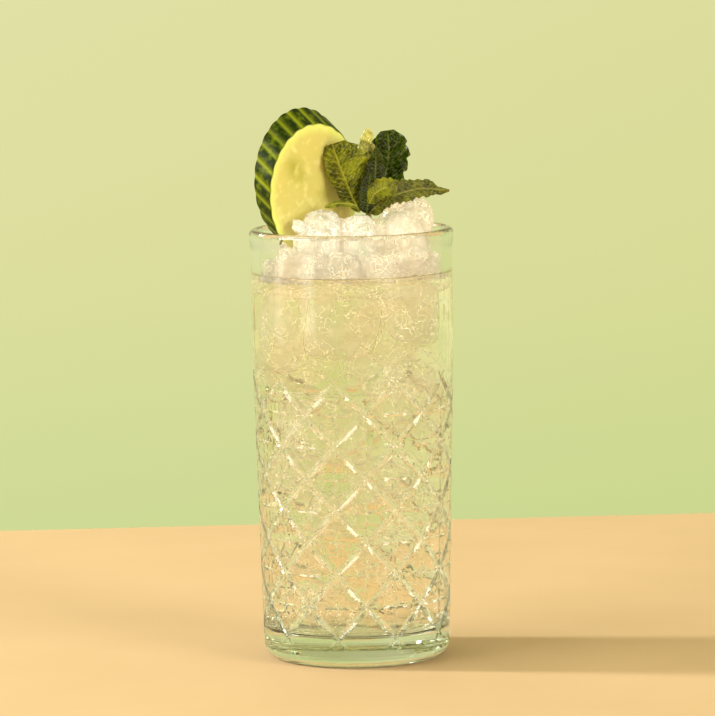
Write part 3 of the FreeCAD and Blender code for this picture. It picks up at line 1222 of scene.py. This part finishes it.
    def risen(self) -> None:
        """Ice above the drink: a clear lump for each solid chunk, floating lumps, and their hearts.

        A lump runs from just under the drink's surface to its chunk's top. A heart is a
        smaller copy inside its lump.
        """
        shapes = {
            "ice_front": LumpShape(9.0, 14, 5.0, 0.28, 0.12, 0.84),
            "ice_middle": LumpShape(8.0, 14, 5.0, 0.28, 0.12, 0.98),
            "ice_round": LumpShape(3.6, 2, 9.0, 0.30, 0.08, 0.98),
            "ice_back": LumpShape(4.2, 4, 8.0, 0.40, 0.08, 1.0),
            "ice_chip": LumpShape(9.0, 6, 2.5, 0.12, 0.12, 1.0),
        }
        clear = CLEAR_ICE.make()
        foot = self.tumbler.level - self.dip
        hearts, painted_highlight_hearts = [], []
        for number, (node, shape) in enumerate(shapes.items()):
            rng = np.random.default_rng(self.seed + number)
            low, high = (np.array(corner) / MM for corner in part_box(node))
            low[2] = max(low[2], foot)
            centre = (low + high) * 0.5
            half = (high - low) * 0.5 * np.array([shape.slim, shape.slim, 1.0])
            body = lump(half, block_planes(rng, shape.chips, shape.skew), shape.crispness, 56, 112)
            body = self.rough(body, rng, shape.ripple_size, shape.ripple_depth)
            # The front lumps get the whiter, more glowing hearts: painted highlight.
            group = painted_highlight_hearts if node in self.painted_highlight_lumps else hearts
            group.append(self.heart(body, rng, centre, np.eye(3), foot))
            body.points = body.points + centre
            make_piece(node + "_lump", body, clear, (node,), 26.0)
        bodies, floating_hearts = self.floating(foot)
        make_piece("floating_ice", join(bodies), clear, (), 26.0)
        make_piece("ice_hearts", join(hearts + floating_hearts), ICE_HEART.make())
        make_piece("ice_painted_highlight_hearts", join(painted_highlight_hearts), PAINTED_HIGHLIGHT_HEART.make())

    def floating(self, foot: float) -> tuple[list[Surface], list[Surface]]:
        """The floating blocks, cut off below a height and kept inside the wall.

        Args:
            foot: The height.
        Returns:
            The blocks, and a heart for each.
        """
        rng = np.random.default_rng(self.seed + 10)
        bodies, hearts = [], []
        for block in self.floating_blocks():
            body = lump(np.array(block.half), block_planes(rng, 8, 0.08), block.crispness, 36, 72)
            body = self.rough(body, rng, 5.0, 0.28)
            turn, centre = turn_matrix(*block.turn), np.array(block.centre)
            hearts.append(self.heart(body, rng, centre, turn, foot))
            body = body.moved(turn, centre)
            body.points[:, 2] = np.maximum(body.points[:, 2], foot)
            reach = np.hypot(body.points[:, 0], body.points[:, 1])
            room = self.tumbler.inner_radius - 0.5
            body.points[:, :2] *= np.minimum(1.0, room / reach)[:, None]
            bodies.append(body)
        return bodies, hearts

    def heart(self, body: Surface, rng: np.random.Generator, centre: Array, turn: Array,
              foot: float) -> Surface:
        """A smaller, more uneven copy of a lump, kept above a height.

        Args:
            body: The lump about the origin.
            rng: Where the unevenness comes from.
            centre: Where the lump's middle goes.
            turn: The lump's rotation.
            foot: The height that the lump itself stops at.
        Returns:
            The heart in its place, with its mark "fog".
        """
        inner = Surface(body.points * self.heart_share, body.faces)
        inner = self.rough(inner, rng, 4.0, 0.30).moved(turn, centre)
        inner.points[:, 2] = np.maximum(inner.points[:, 2], foot + self.heart_lift)
        inner.marks = {"fog": np.ones(len(inner.points))}
        return inner

    def sunk(self) -> list[Block]:
        """Clear blocks under the drink's surface with cloudy cores, and slush above them.

        Returns:
            The blocks, for the air that clings to them.
        """
        rng = np.random.default_rng(self.seed + 20)
        blocks = self.upper_blocks() + self.lower_blocks(rng)
        bodies, cores = [], []
        for block in blocks:
            half, centre, turn = np.array(block.half), np.array(block.centre), turn_matrix(*block.turn)
            body = lump(half, block_planes(rng, 5, 0.07), block.crispness, 46, 92)
            body = self.rough(body, rng, self.ripple_size, self.ripple_depth)
            bodies.append(self.fitted(body.moved(turn, centre), 0.5))
            core = lump(half * self.core_share, block_planes(rng, 5, 0.1), 6.0, 24, 48)
            core = self.fitted(self.rough(core, rng, 5.0, 0.5).moved(turn, centre), 1.6)
            core.marks = {"fog": self.fog_at(core.points)}
            cores.append(core)
        slush = lump(np.array(self.slush_half), block_planes(rng, 5, 0.1), 4.0, 40, 120)
        middle = np.array([0.0, 0.0, self.tumbler.level - self.slush_depth])
        slush = self.fitted(self.rough(slush, rng, 5.0, 0.7).moved(np.eye(3), middle), 1.3)
        slush.marks = {"fog": np.full(len(slush.points), self.slush_fog)}
        cores.append(slush)
        make_piece("sunk_ice_blocks", join(bodies), SUNK_ICE.make(), (), 24.0)
        make_piece("sunk_ice_hearts", join(cores), SUNK_HEART.make())
        return blocks

    def fitted(self, body: Surface, gap: float) -> Surface:
        """Press a body's points inside the drink.

        Args:
            body: The body in its place.
            gap: How far it stays from the drink's wall, floor and top.
        Returns:
            The same body.
        """
        reach = np.hypot(body.points[:, 0], body.points[:, 1])
        room = self.tumbler.inner(body.points[:, 2]) - gap
        body.points[:, :2] *= np.minimum(1.0, room / reach)[:, None]
        body.points[:, 2] = np.clip(body.points[:, 2], self.tumbler.base + gap, self.tumbler.level - gap)
        return body

    @staticmethod
    def fog_at(points: Array) -> Array:
        """How milky the ice is: more so high up and on the left."""
        return np.clip(0.35 + 0.006 * (points[:, 2] - 60.0) - 0.006 * points[:, 0], 0.1, 1.0)

    def air(self, blocks: list[Block]) -> None:
        """Round bubbles that cling to the blocks, and thin flaws of air frozen inside them.

        Args:
            blocks: The sunk blocks.
        """
        rng = np.random.default_rng(self.seed + 40)
        centres = np.array([block.centre for block in blocks])
        halves = np.array([block.half for block in blocks])
        make_piece("air_bubbles", self.bubbles(rng, centres, halves), AIR_IN_DRINK.make())
        make_piece("ice_flaws", self.flaws(rng, centres, halves), AIR_IN_DRINK.make())

    def bubbles(self, rng: np.random.Generator, centres: Array, halves: Array) -> Surface:
        """Small balls just outside the blocks, most of them tiny: the size goes by a cube.

        Args:
            rng: Where their places and sizes come from.
            centres: The middle of each block.
            halves: The half sizes of each block.
        Returns:
            All the bubbles.
        """
        count = self.bubble_count
        pick = rng.integers(0, len(centres), count)
        way = rng.normal(0.0, 1.0, (count, 3))
        way /= np.linalg.norm(way, axis=1, keepdims=True)
        places = centres[pick] + way * halves[pick] * rng.uniform(0.9, 1.3, (count, 1))
        size = self.bubble_radius + self.bubble_spread * rng.random(count) ** 3
        still = np.repeat(np.eye(3)[None], count, 0)
        sizes = np.repeat(size[:, None], 3, 1)
        return scatter(small_ball(5, 8), sizes, still, self.kept_inside(places, size))

    def flaws(self, rng: np.random.Generator, centres: Array, halves: Array) -> Surface:
        """Thin flat flecks inside the blocks, most of them short: the length goes by a cube.

        Args:
            rng: Where their places, sizes and turns come from.
            centres: The middle of each block.
            halves: The half sizes of each block.
        Returns:
            All the flaws.
        """
        count = self.flaw_count
        pick = rng.integers(0, len(centres), count)
        places = centres[pick] + rng.normal(0.0, 0.42, (count, 3)) * halves[pick]
        length = self.flaw_length + self.flaw_spread * rng.random(count) ** 3
        sizes = np.stack([length, length * rng.uniform(0.15, 0.7, count), length * 0.10 + 0.03], -1)
        places = self.kept_inside(places, length)
        return scatter(small_ball(3, 7), sizes, random_turns(rng, count), places)

    def kept_inside(self, places: Array, size: Array) -> Array:
        """Move centres in so that things of a size stay within the drink.

        Args:
            places: The centres.
            size: How far each thing reaches from its centre.
        Returns:
            The new centres.
        """
        height = np.clip(places[:, 2], self.tumbler.base + 1.5, self.tumbler.level - 1.6)
        reach = np.hypot(places[:, 0], places[:, 1])
        room = self.tumbler.inner(height) - size - 0.35
        share = np.minimum(1.0, room / reach)
        return np.stack([places[:, 0] * share, places[:, 1] * share, height], -1)

    def build(self) -> None:
        """Make all the ice and the air in it."""
        self.risen()
        self.air(self.sunk())


# ---- Cucumber ------------------------------------------------------------------------


@dataclass
class CucumberSlice:
    """A bias-cut slice: an oval with a ribbed rind, swept along a skew line.

    Each blot in the flesh has a bearing on the face in degrees, a share of the radius and
    a strength.
    """

    rim: float
    centre: Place = (-11.7, -1.4, 12.3)
    half_width: float = 20.4
    half_height: float = 23.2
    thickness: float = 7.0
    facing_deg: float = 45.0
    tip_deg: float = 7.0
    lean_deg: float = 22.0
    bias: tuple[float, float] = (-0.11, 0.60)
    ribs: int = 25
    rib_height: float = 0.35
    columns: int = 300
    rings: int = 40
    depth_rows: int = 18
    dome: float = 0.35
    unevenness: float = 0.10
    blots: tuple[tuple[float, float, float], ...] = (
        (122.0, 0.55, 1.0), (-38.0, 0.22, 0.5), (20.0, 0.42, 0.3))

    def axes(self) -> tuple[Array, Array, Array]:
        """The slice's own axes.

        Returns:
            Across the face, up the face, and straight out of it.
        """
        facing, tip = math.radians(self.facing_deg), math.radians(self.tip_deg)
        out = np.array([math.sin(facing) * math.cos(tip), -math.cos(facing) * math.cos(tip), -math.sin(tip)])
        across = np.array([math.cos(facing), math.sin(facing), 0.0])
        return across, np.cross(out, across), out

    def build(self) -> None:
        """Make the slice as one closed surface: face, rind and back.

        Going inwards on both caps, the share of the radius falls from one to the middle.
        The two edges of the rind are rounded, and the flesh stands a little proud.
        """
        across, up, out = self.axes()
        angle = np.linspace(0.0, TAU, self.columns, endpoint=False)
        u, w = self._outline(angle)
        share_in = np.linspace(0.04, 0.975, self.rings)
        share_side = np.concatenate([[0.990], np.ones(self.depth_rows), [0.990]])
        depth_side = np.concatenate([[0.006], np.linspace(0.03, 0.97, self.depth_rows), [0.994]])
        share = np.concatenate([share_in, share_side, share_in[::-1]])
        depth = np.concatenate([np.zeros(self.rings), depth_side, np.ones(self.rings)])
        skew = (across * self.bias[0] + up * self.bias[1] - out) * self.thickness
        flat = (across * u[:, None] + up * w[:, None])[None] * share[:, None, None]
        points = flat + skew * depth[:, None, None]
        cap = (share < 0.98)[:, None]
        swell = np.where(cap, self.dome * np.cos(np.clip(share, 0, 1) * math.pi * 0.5)[:, None], 0.0)
        rng = np.random.default_rng(3)
        swell = swell + np.where(cap, self.unevenness * ripple(points, rng, 6.0), 0.0)
        side = np.where(depth < 0.5, 1.0, -1.0)[:, None]
        points = points + out * (swell * side)[..., None]
        points = points + np.array(self.centre) + np.array([0.0, 0.0, self.rim])
        surface = closed_rings(points, np.stack([points[0].mean(0), points[-1].mean(0)]))
        surface.marks = self._marks(share, angle)
        make_piece("cucumber", surface, CucumberFinish().make(), ("cucumber_slice",), 50.0)

    def _outline(self, angle: Array) -> tuple[Array, Array]:
        """The ribbed oval, leaned over in its own plane.

        Args:
            angle: Bearings round the face.
        Returns:
            The place across the face and the place up the face.
        """
        rib = self.rib_height * (0.5 - 0.5 * np.cos(self._rib_wave(angle))) ** 0.6
        x = (self.half_width - self.rib_height + rib) * np.cos(angle)
        y = (self.half_height - self.rib_height + rib) * np.sin(angle)
        lean = math.radians(self.lean_deg)
        return x * math.cos(lean) - y * math.sin(lean), x * math.sin(lean) + y * math.cos(lean)

    def _rib_wave(self, angle: Array) -> Array:
        """Phase of the ribs round the rind, a little uneven in width."""
        return angle * self.ribs + 0.6 * np.sin(3.0 * angle)

    def _marks(self, share: Array, angle: Array) -> dict[str, Array]:
        """Where the rind, its stripes, the seeds and the pale edge of the flesh lie.

        Args:
            share: Share of the radius of each ring.
            angle: Bearing of each column.
        Returns:
            A value for each point, by the name of its mark.
        """
        share = share[:, None]
        flat = np.ones_like(angle)[None]
        rind = smooth_step(0.972, 0.992, share) * flat
        valley = 0.5 + 0.5 * np.cos(self._rib_wave(angle))[None]
        shift = 0.5 + 0.5 * np.cos(self._rib_wave(angle) + 0.9)[None]
        strength = 0.78 + 0.22 * np.sin(5.0 * angle[None] + 1.0)
        stripe = np.clip(valley ** 9 + 0.35 * shift ** 3, 0.0, 1.0) * strength * rind
        seed = np.zeros((len(share), len(angle)))
        for bearing_deg, reach, weight in self.blots:
            away = np.angle(np.exp(1j * (angle[None] - math.radians(bearing_deg))))
            blot = np.exp(-(away * np.maximum(share, 0.2) / 0.15) ** 2 - ((share - reach) / 0.24) ** 2)
            seed = np.maximum(seed, weight * blot)
        edge = smooth_step(0.80, 0.97, share) * flat
        marks = {"rind": rind, "stripe": stripe, "seed": seed, "edge": edge}
        return {name: np.append(value.ravel(), [value[0, 0], value[-1, 0]]) for name, value in marks.items()}


# ---- Mint ------------------------------------------------------------------------------


@dataclass(frozen=True)
class Leaf:
    """One leaf's midrib, measured up from the rim, and its width, facing and character."""

    base: Place
    bend: Place
    tip: Place
    half_width: float
    belly: float
    facing: tuple[float, float, float]
    fold_deg: float
    finish: MintFinish
    crumple: float = 0.3
    teeth: int = 11
    fullness: float = 0.7
    lean: float = 0.0
    quilt: float = 0.12


@dataclass
class MintSprig:
    """The sprig: a stalk and its leaves, toothed, veined and crinkled."""

    rim: float
    thickness: float = 0.35
    stalk: float = 0.7
    point: float = 0.15
    stations: int = 110
    lanes: int = 44
    vein_pairs: float = 7.0
    vein_slant: float = 1.5
    tooth_depth: float = 0.18
    tooth_front: float = 0.75
    stem_radius: float = 1.1

    def leaves(self) -> dict[str, Leaf]:
        """The leaves, by the solid that each one stands for.

        Returns:
            A leaf for each solid's name.
        """
        # Each leaf's finish carries its painted light or shade: a lighter or darker copy of the mint colour.
        return {
            "leaf_front_left": Leaf((3.0, 0.4, 5.0), (-1.2, -4.8, 13.0), (-5.8, -3.0, 27.8), 8.2, 0.68,
                                    (-0.3, 0.7, 0.3), 20.0, MINT_LEFT, 1.1, 8, 0.34, -0.42),
            "leaf_right": Leaf((7.0, 0.2, 4.6), (13.0, -5.5, 14.0), (32.4, -4.0, 12.0), 4.8, 0.42,
                               (-0.1, -0.8, 0.6), 16.0, MINT_RIGHT, 0.8, 13),
            "leaf_back_dark": Leaf((8.0, 4.8, 8.0), (14.0, 9.0, 18.0), (12.6, 9.5, 31.2), 7.0, 0.62,
                                   (0.1, -1.0, 0.1), 12.0, MINT_SHADED, 3.6, 6, 0.36),
            "leaf_back_inner": Leaf((6.6, 2.6, 8.0), (8.8, 3.4, 18.0), (8.2, 3.0, 26.0), 3.4, 0.5,
                                    (0.3, -0.9, 0.2), 20.0, MINT_SHADED, 0.8, 7),
            "leaf_back_pale": Leaf((5.6, 5.2, 9.0), (6.8, 9.0, 18.0), (6.0, 8.6, 32.0), 3.4, 0.6,
                                   (-0.4, -0.9, 0.1), 22.0, MINT_LIT, 0.7, 8, 0.5),
            "leaf_front_small": Leaf((6.4, -0.6, 8.0), (9.5, -2.4, 15.0), (16.4, -2.4, 12.4), 3.7, 0.5,
                                     (-0.1, -0.9, 0.4), 16.0, MINT_LEFT, 0.5, 7, 0.5),
            "leaf_centre": Leaf((5.2, 0.6, 4.8), (5.6, -0.8, 10.5), (6.6, -0.4, 17.6), 3.6, 0.5,
                                (0.1, -1.0, 0.0), 22.0, MINT_SHADED, 0.6, 6, 0.5),
            "leaf_left_small": Leaf((3.6, 3.0, 7.4), (0.4, 3.4, 9.0), (-4.6, 2.6, 11.6), 2.6, 0.5,
                                    (0.1, -0.9, 0.3), 14.0, MINT_LEFT, 0.3, 6),
        }

    @staticmethod
    def _midrib(leaf: Leaf, t: Array) -> tuple[Array, Array, Array, Array]:
        """The midrib: a quadratic curve from the base to the tip, drawn towards the bend.

        Args:
            leaf: The leaf.
            t: Shares of the way along it, as a column.
        Returns:
            Its points, and at each one the way along it, across the blade and out of it.
        """
        base, bend, tip = (np.array(p) for p in (leaf.base, leaf.bend, leaf.tip))
        spine = base * (1 - t) ** 2 + bend * (2 * t * (1 - t)) + tip * t ** 2
        way = (bend - base) * (1 - t) + (tip - bend) * t
        way = way / np.linalg.norm(way, axis=1, keepdims=True)
        side = np.cross(way, np.array(leaf.facing))
        side /= np.linalg.norm(side, axis=1, keepdims=True)
        return spine, way, side, np.cross(side, way)

    def _reach(self, leaf: Leaf, t: Array) -> Array:
        """Half-width of the blade without its teeth: widest at the belly, never quite zero.

        Args:
            leaf: The leaf.
            t: Shares of the way along it.
        Returns:
            The half-width at each.
        """
        power = math.log(0.5) / math.log(leaf.belly)
        swell = np.clip(np.sin(math.pi * t ** power), 0.0, None) ** leaf.fullness
        return leaf.half_width * swell + self.stalk * (1 - t) ** 2 + self.point * t

    def blade(self, leaf: Leaf, rng: np.random.Generator) -> Surface:
        """One leaf as a thin closed sheet.

        The half-width is notched by forward-pointing teeth. The blade folds up along the
        midrib, puffs up between the side veins, and is crumpled by a slow uneven wave.

        Args:
            leaf: The leaf.
            rng: Where its crumpling comes from.
        Returns:
            The leaf in its place, with its mark "vein".
        """
        t = np.linspace(0.0, 1.0, self.stations)[:, None]
        v = np.linspace(-1.0, 1.0, self.lanes + 1)[None, :]
        size = np.abs(v)
        spine, way, side, normal = self._midrib(leaf, t)
        reach = self._reach(leaf, t)
        saw = np.mod(t * leaf.teeth, 1.0)
        front = self.tooth_front
        tooth = np.where(saw < front, saw / front, (1.0 - saw) / (1.0 - front))
        notch = 1.0 - self.tooth_depth * tooth * smooth_step(0.06, 0.2, t)
        spread = reach * (1.0 - (1.0 - notch) * smooth_step(0.7, 1.0, size)) * (1.0 + leaf.lean * v)
        forward = 0.35 * size ** 3 * reach * 0.3
        slant = t * self.vein_pairs * 2.0 - size * self.vein_slant + 0.06 * np.sin(v * 9.0)
        between = np.abs(np.sin(math.pi * slant))
        cross = np.abs(np.sin(math.pi * (size * 4.0 + 0.35 * np.sin(slant * TAU))))
        puff = (between ** 0.6) * (0.72 + 0.28 * cross ** 0.5) * (1.0 - size ** 3)
        puff = puff * smooth_step(0.02, 0.12, size)
        fold = math.radians(leaf.fold_deg)
        lift = size * reach * math.sin(fold) + puff * leaf.quilt * leaf.half_width
        flat = spine[:, None] + side[:, None] * (v * spread * math.cos(fold))[..., None]
        flat = flat + way[:, None] * forward[..., None]
        wave = ripple(flat, rng, 9.0, 5) + 0.5 * ripple(flat, rng, 3.2, 5)
        lift = lift + leaf.crumple * wave * (0.25 + 0.75 * size) * smooth_step(0.0, 0.25, t)
        place = flat + normal[:, None] * lift[..., None] + np.array([0.0, 0.0, self.rim])
        rib = 0.5 * np.exp(-(size * reach / 0.35) ** 2) * (1.0 - 0.6 * t)
        half = 0.5 * self.thickness * (1.0 - 0.5 * size ** 4) + rib
        upper = place + normal[:, None] * half[..., None]
        lower = place - normal[:, None] * half[..., None]
        side_veins = 0.55 * np.exp(-(between / 0.22) ** 2) * (1.0 - 0.5 * size)
        midrib = 0.7 * np.exp(-(size * reach / 0.28) ** 2)
        fine = 0.45 * np.exp(-(cross / 0.3) ** 2)
        vein = np.clip(np.maximum(np.maximum(side_veins, midrib), fine), 0.0, 1.0)
        return closed_sheet(upper, lower, {"vein": vein})

    def stem(self) -> Surface:
        """The part of the stalk that stands out of the ice, slightly bent, with a swollen joint.

        Returns:
            The stalk, with its mark "vein".
        """
        low, high = (np.array(corner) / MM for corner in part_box("mint_stem"))
        middle = (low + high) * 0.5
        t = np.linspace(0.0, 1.0, 40)
        foot = low[2] + 0.45 * (high[2] - low[2])
        path = np.stack([middle[0] + 0.15 * np.sin(t * 5.0), middle[1] + 0.1 * np.cos(t * 6.0),
                         foot + (high[2] - foot) * t], -1)
        radius = self.stem_radius * (0.92 - 0.12 * t + 0.10 * np.exp(-((t - 0.9) / 0.05) ** 2))
        stalk = tube(path, radius, 24)
        stalk.marks = {"vein": np.full(len(stalk.points), 0.4)}
        return stalk

    def build(self) -> None:
        """Make the stalk and every leaf."""
        finishes = {finish: finish.make() for finish in (MINT_LEFT, MINT_RIGHT, MINT_SHADED, MINT_LIT)}
        for number, (node, leaf) in enumerate(self.leaves().items()):
            body = self.blade(leaf, np.random.default_rng(60 + number))
            make_piece("mint_" + node, body, finishes[leaf.finish], (node,), 60.0)
        scrap = Leaf((1.6, -8.0, 7.4), (-3.0, -10.4, 9.4), (-8.4, -9.6, 7.4), 1.7, 0.5,
                     (0.0, -0.6, 0.8), 10.0, MINT_LEFT, 0.3, 5)
        body = self.blade(scrap, np.random.default_rng(80))
        make_piece("mint_scrap", body, finishes[MINT_LEFT], (), 60.0)
        make_piece("mint_stalk", self.stem(), finishes[MINT_RIGHT], ("mint_stem",))


# ---- Studio ------------------------------------------------------------------------------


@dataclass
class Studio:
    """Floor, surroundings, lamps and camera, in metres where a name doesn't say otherwise.

    Each card lamp has a bearing in degrees, a width and a power.
    """

    floor_half: float = 1.8
    floor_front: float = -2.2
    floor_back: float = 0.288
    floor_thickness: float = 0.03
    floor_turn_deg: float = 3.9
    floor_colour: Colour = (0.608, 0.416, 0.22)
    floor_colour_light: Colour = (0.63, 0.432, 0.232)
    camera_distance: float = 1.5
    camera_height: float = 0.2732
    camera_aside: float = 0.0015
    camera_pitch_deg: float = 6.633
    camera_roll_deg: float = -0.85
    lens_mm: float = 230.43
    sensor_mm: float = 36.0
    panel_bearings: tuple[int, ...] = (190, 217)
    panel_rise_deg: float = 28.0
    panel_distance: float = 2.6
    panel_size: tuple[float, float] = (1.20, 0.76)
    panel_power: float = 23.0
    aim_height: float = 0.08
    card_distance: float = 0.9
    card_height: float = 0.22
    card_length: float = 0.42
    cards: tuple[tuple[float, float, float], ...] = ((217.0, 0.26, 0.40), (177.0, 0.14, 0.14))
    bounces: int = 48

    def floor(self) -> None:
        """A pale table top that ends behind the glass."""
        half, front, back = self.floor_half, self.floor_front, self.floor_back
        corners = np.array([[-half, front], [half, front], [half, back], [-half, back]])
        turn = turn_matrix(self.floor_turn_deg, 0.0, 0.0)
        top = np.concatenate([corners, np.zeros((4, 1))], 1) @ turn.T
        points = np.concatenate([top, top - np.array([0.0, 0.0, self.floor_thickness])])
        faces = [(0, 1, 2, 3), (7, 6, 5, 4), (0, 4, 5, 1), (1, 5, 6, 2), (2, 6, 7, 3), (3, 7, 4, 0)]
        mesh = bpy.data.meshes.new("floor")
        mesh.from_pydata([tuple(p) for p in points], [], faces)
        table = bpy.data.objects.new("floor", mesh)
        bpy.context.scene.collection.objects.link(table)
        material, sheet = new_material("pale_floor")
        mottle = sheet.noise(60.0, 3.0)
        colour = sheet.blend(mottle.ramp(0.3, 0.7), self.floor_colour, self.floor_colour_light)
        grain = sheet.bump(sheet.noise(1.0), 0.02)
        sheet.finish(sheet.surface(Base_Color=colour, Roughness=0.55, Specular_IOR_Level=0.05, Normal=grain))
        mesh.materials.append(material)

    def world(self) -> None:
        """Pale green surroundings, a little duller overhead and a little brighter on the left."""
        world = bpy.data.worlds.new("studio")
        bpy.context.scene.world = world
        world.use_nodes = True
        sheet = Sheet(world.node_tree)
        way = sheet.add("ShaderNodeTexCoord", {}, {}, "Generated")
        split = sheet.node("ShaderNodeSeparateXYZ", {}, {0: way})
        rise = Wire(sheet, split.outputs[2])
        aside = Wire(sheet, split.outputs[0]).ramp(-0.25, 0.25)
        stops = [(0.0, tone(196, 192, 130)), (0.4245, tone(205, 217, 148)), (0.4525, tone(219, 221, 156)),
                 (0.481, tone(223, 223, 163)), (0.56, tone(222, 220, 165)), (0.66, tone(196, 192, 146)),
                 (1.0, tone(190, 186, 140))]
        colour = sheet.add("ShaderNodeValToRGB", {"stops": stops}, {0: rise * 0.5 + 0.5})
        shade = sheet.blend(aside, (1.05, 1.03, 1.09), (0.95, 0.965, 0.87))
        tinted = sheet.add("ShaderNodeVectorMath", {"operation": "MULTIPLY"}, {0: colour, 1: shade})
        background = sheet.add("ShaderNodeBackground", {}, {"Color": tinted, "Strength": 1.0})
        sheet.node("ShaderNodeOutputWorld", {}, {"Surface": background})

    @staticmethod
    def lamp(name: str, place: Place, aim: Place, size: tuple[float, float], power: float,
             colour: Colour) -> None:
        """A rectangular lamp that looks from a place at a point.

        Args:
            name: The lamp's name.
            place: Where it stands.
            aim: The point.
            size: Its width and length.
            power: Its power in watts.
            colour: Its colour.
        """
        data = bpy.data.lights.new(name, "AREA")
        data.shape = "RECTANGLE"
        data.size, data.size_y = size
        data.energy = power
        data.color = colour
        lamp = bpy.data.objects.new(name, data)
        bpy.context.scene.collection.objects.link(lamp)
        lamp.location = place
        lamp.rotation_euler = (Vector(aim) - Vector(place)).to_track_quat("-Z", "Y").to_euler()

    def lamps(self) -> None:
        """A small strong key on the left, a broad arc of soft panels from left to front, and fills."""
        middle = (0.0, 0.0, self.aim_height)
        self.lamp("key", (-2.34, 0.274, 1.52), middle, (0.25, 0.25), 67.0, (0.96, 1.0, 1.0))
        for bearing in self.panel_bearings:
            place = self.polar(bearing, self.panel_rise_deg, self.panel_distance)
            name = "panel_%d" % bearing
            self.lamp(name, place, middle, self.panel_size, self.panel_power, (1.0, 0.99, 0.95))
        self.lamp("right_panel", self.polar(-42.0, 17.0, 2.6), middle, (1.2, 1.0), 46.0, (1.0, 0.97, 0.88))
        self.lamp("back_panel", self.polar(128.0, 26.0, 2.6), middle, (1.0, 0.24), 8.0, (1.0, 0.98, 0.94))
        for bearing, width, power in self.cards:
            turn, away, height = math.radians(bearing), self.card_distance, self.card_height
            place = (away * math.cos(turn), away * math.sin(turn), height)
            size = (width, self.card_length)
            self.lamp("card_%d" % bearing, place, (0.0, 0.0, height), size, power, (1.0, 0.98, 0.94))

    def polar(self, bearing_deg: float, rise_deg: float, distance: float) -> Place:
        """A place seen from the lamps' common aim.

        Args:
            bearing_deg: Bearing round the glass.
            rise_deg: Angle above the floor.
            distance: Distance from the aim.
        Returns:
            The place.
        """
        bearing, rise = math.radians(bearing_deg), math.radians(rise_deg)
        flat = distance * math.cos(rise)
        height = distance * math.sin(rise) + self.aim_height
        return flat * math.cos(bearing), flat * math.sin(bearing), height

    def camera(self) -> None:
        """A long lens a little above the glass, looking slightly down."""
        data = bpy.data.cameras.new("camera")
        data.sensor_fit = "HORIZONTAL"
        data.sensor_width = self.sensor_mm
        data.lens = self.lens_mm
        camera = bpy.data.objects.new("camera", data)
        bpy.context.scene.collection.objects.link(camera)
        camera.location = (self.camera_aside, -self.camera_distance, self.camera_height)
        tilt = Euler((math.radians(90.0 - self.camera_pitch_deg), 0.0, 0.0)).to_matrix()
        roll = Euler((0.0, 0.0, math.radians(self.camera_roll_deg))).to_matrix()
        camera.rotation_euler = (tilt @ roll).to_euler()
        bpy.context.scene.camera = camera

    def build(self) -> None:
        """Make the whole studio, and let light pass through many layers of glass and ice."""
        self.camera()
        self.floor()
        self.world()
        self.lamps()
        scene = bpy.context.scene
        scene.view_settings.view_transform = "Standard"
        scene.cycles.max_bounces = self.bounces
        scene.cycles.transmission_bounces = self.bounces
        scene.cycles.transparent_max_bounces = 40
        scene.cycles.glossy_bounces = 12
        scene.cycles.diffuse_bounces = 4
        scene.cycles.sample_clamp_indirect = 6.0


def main() -> None:
    """Build every piece round the frame, in order."""
    logging.basicConfig(level=logging.INFO, format="%(message)s")
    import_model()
    _, glass_high = (np.array(corner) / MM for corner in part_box("glass"))
    tumbler = Tumbler(height=float(glass_high[2]), lip_radius=float(glass_high[0]))
    Studio().build()
    tumbler.build()
    IceHeap(tumbler).build()
    CucumberSlice(tumbler.height).build()
    MintSprig(tumbler.height).build()


if __name__ == "__main__":
    main()
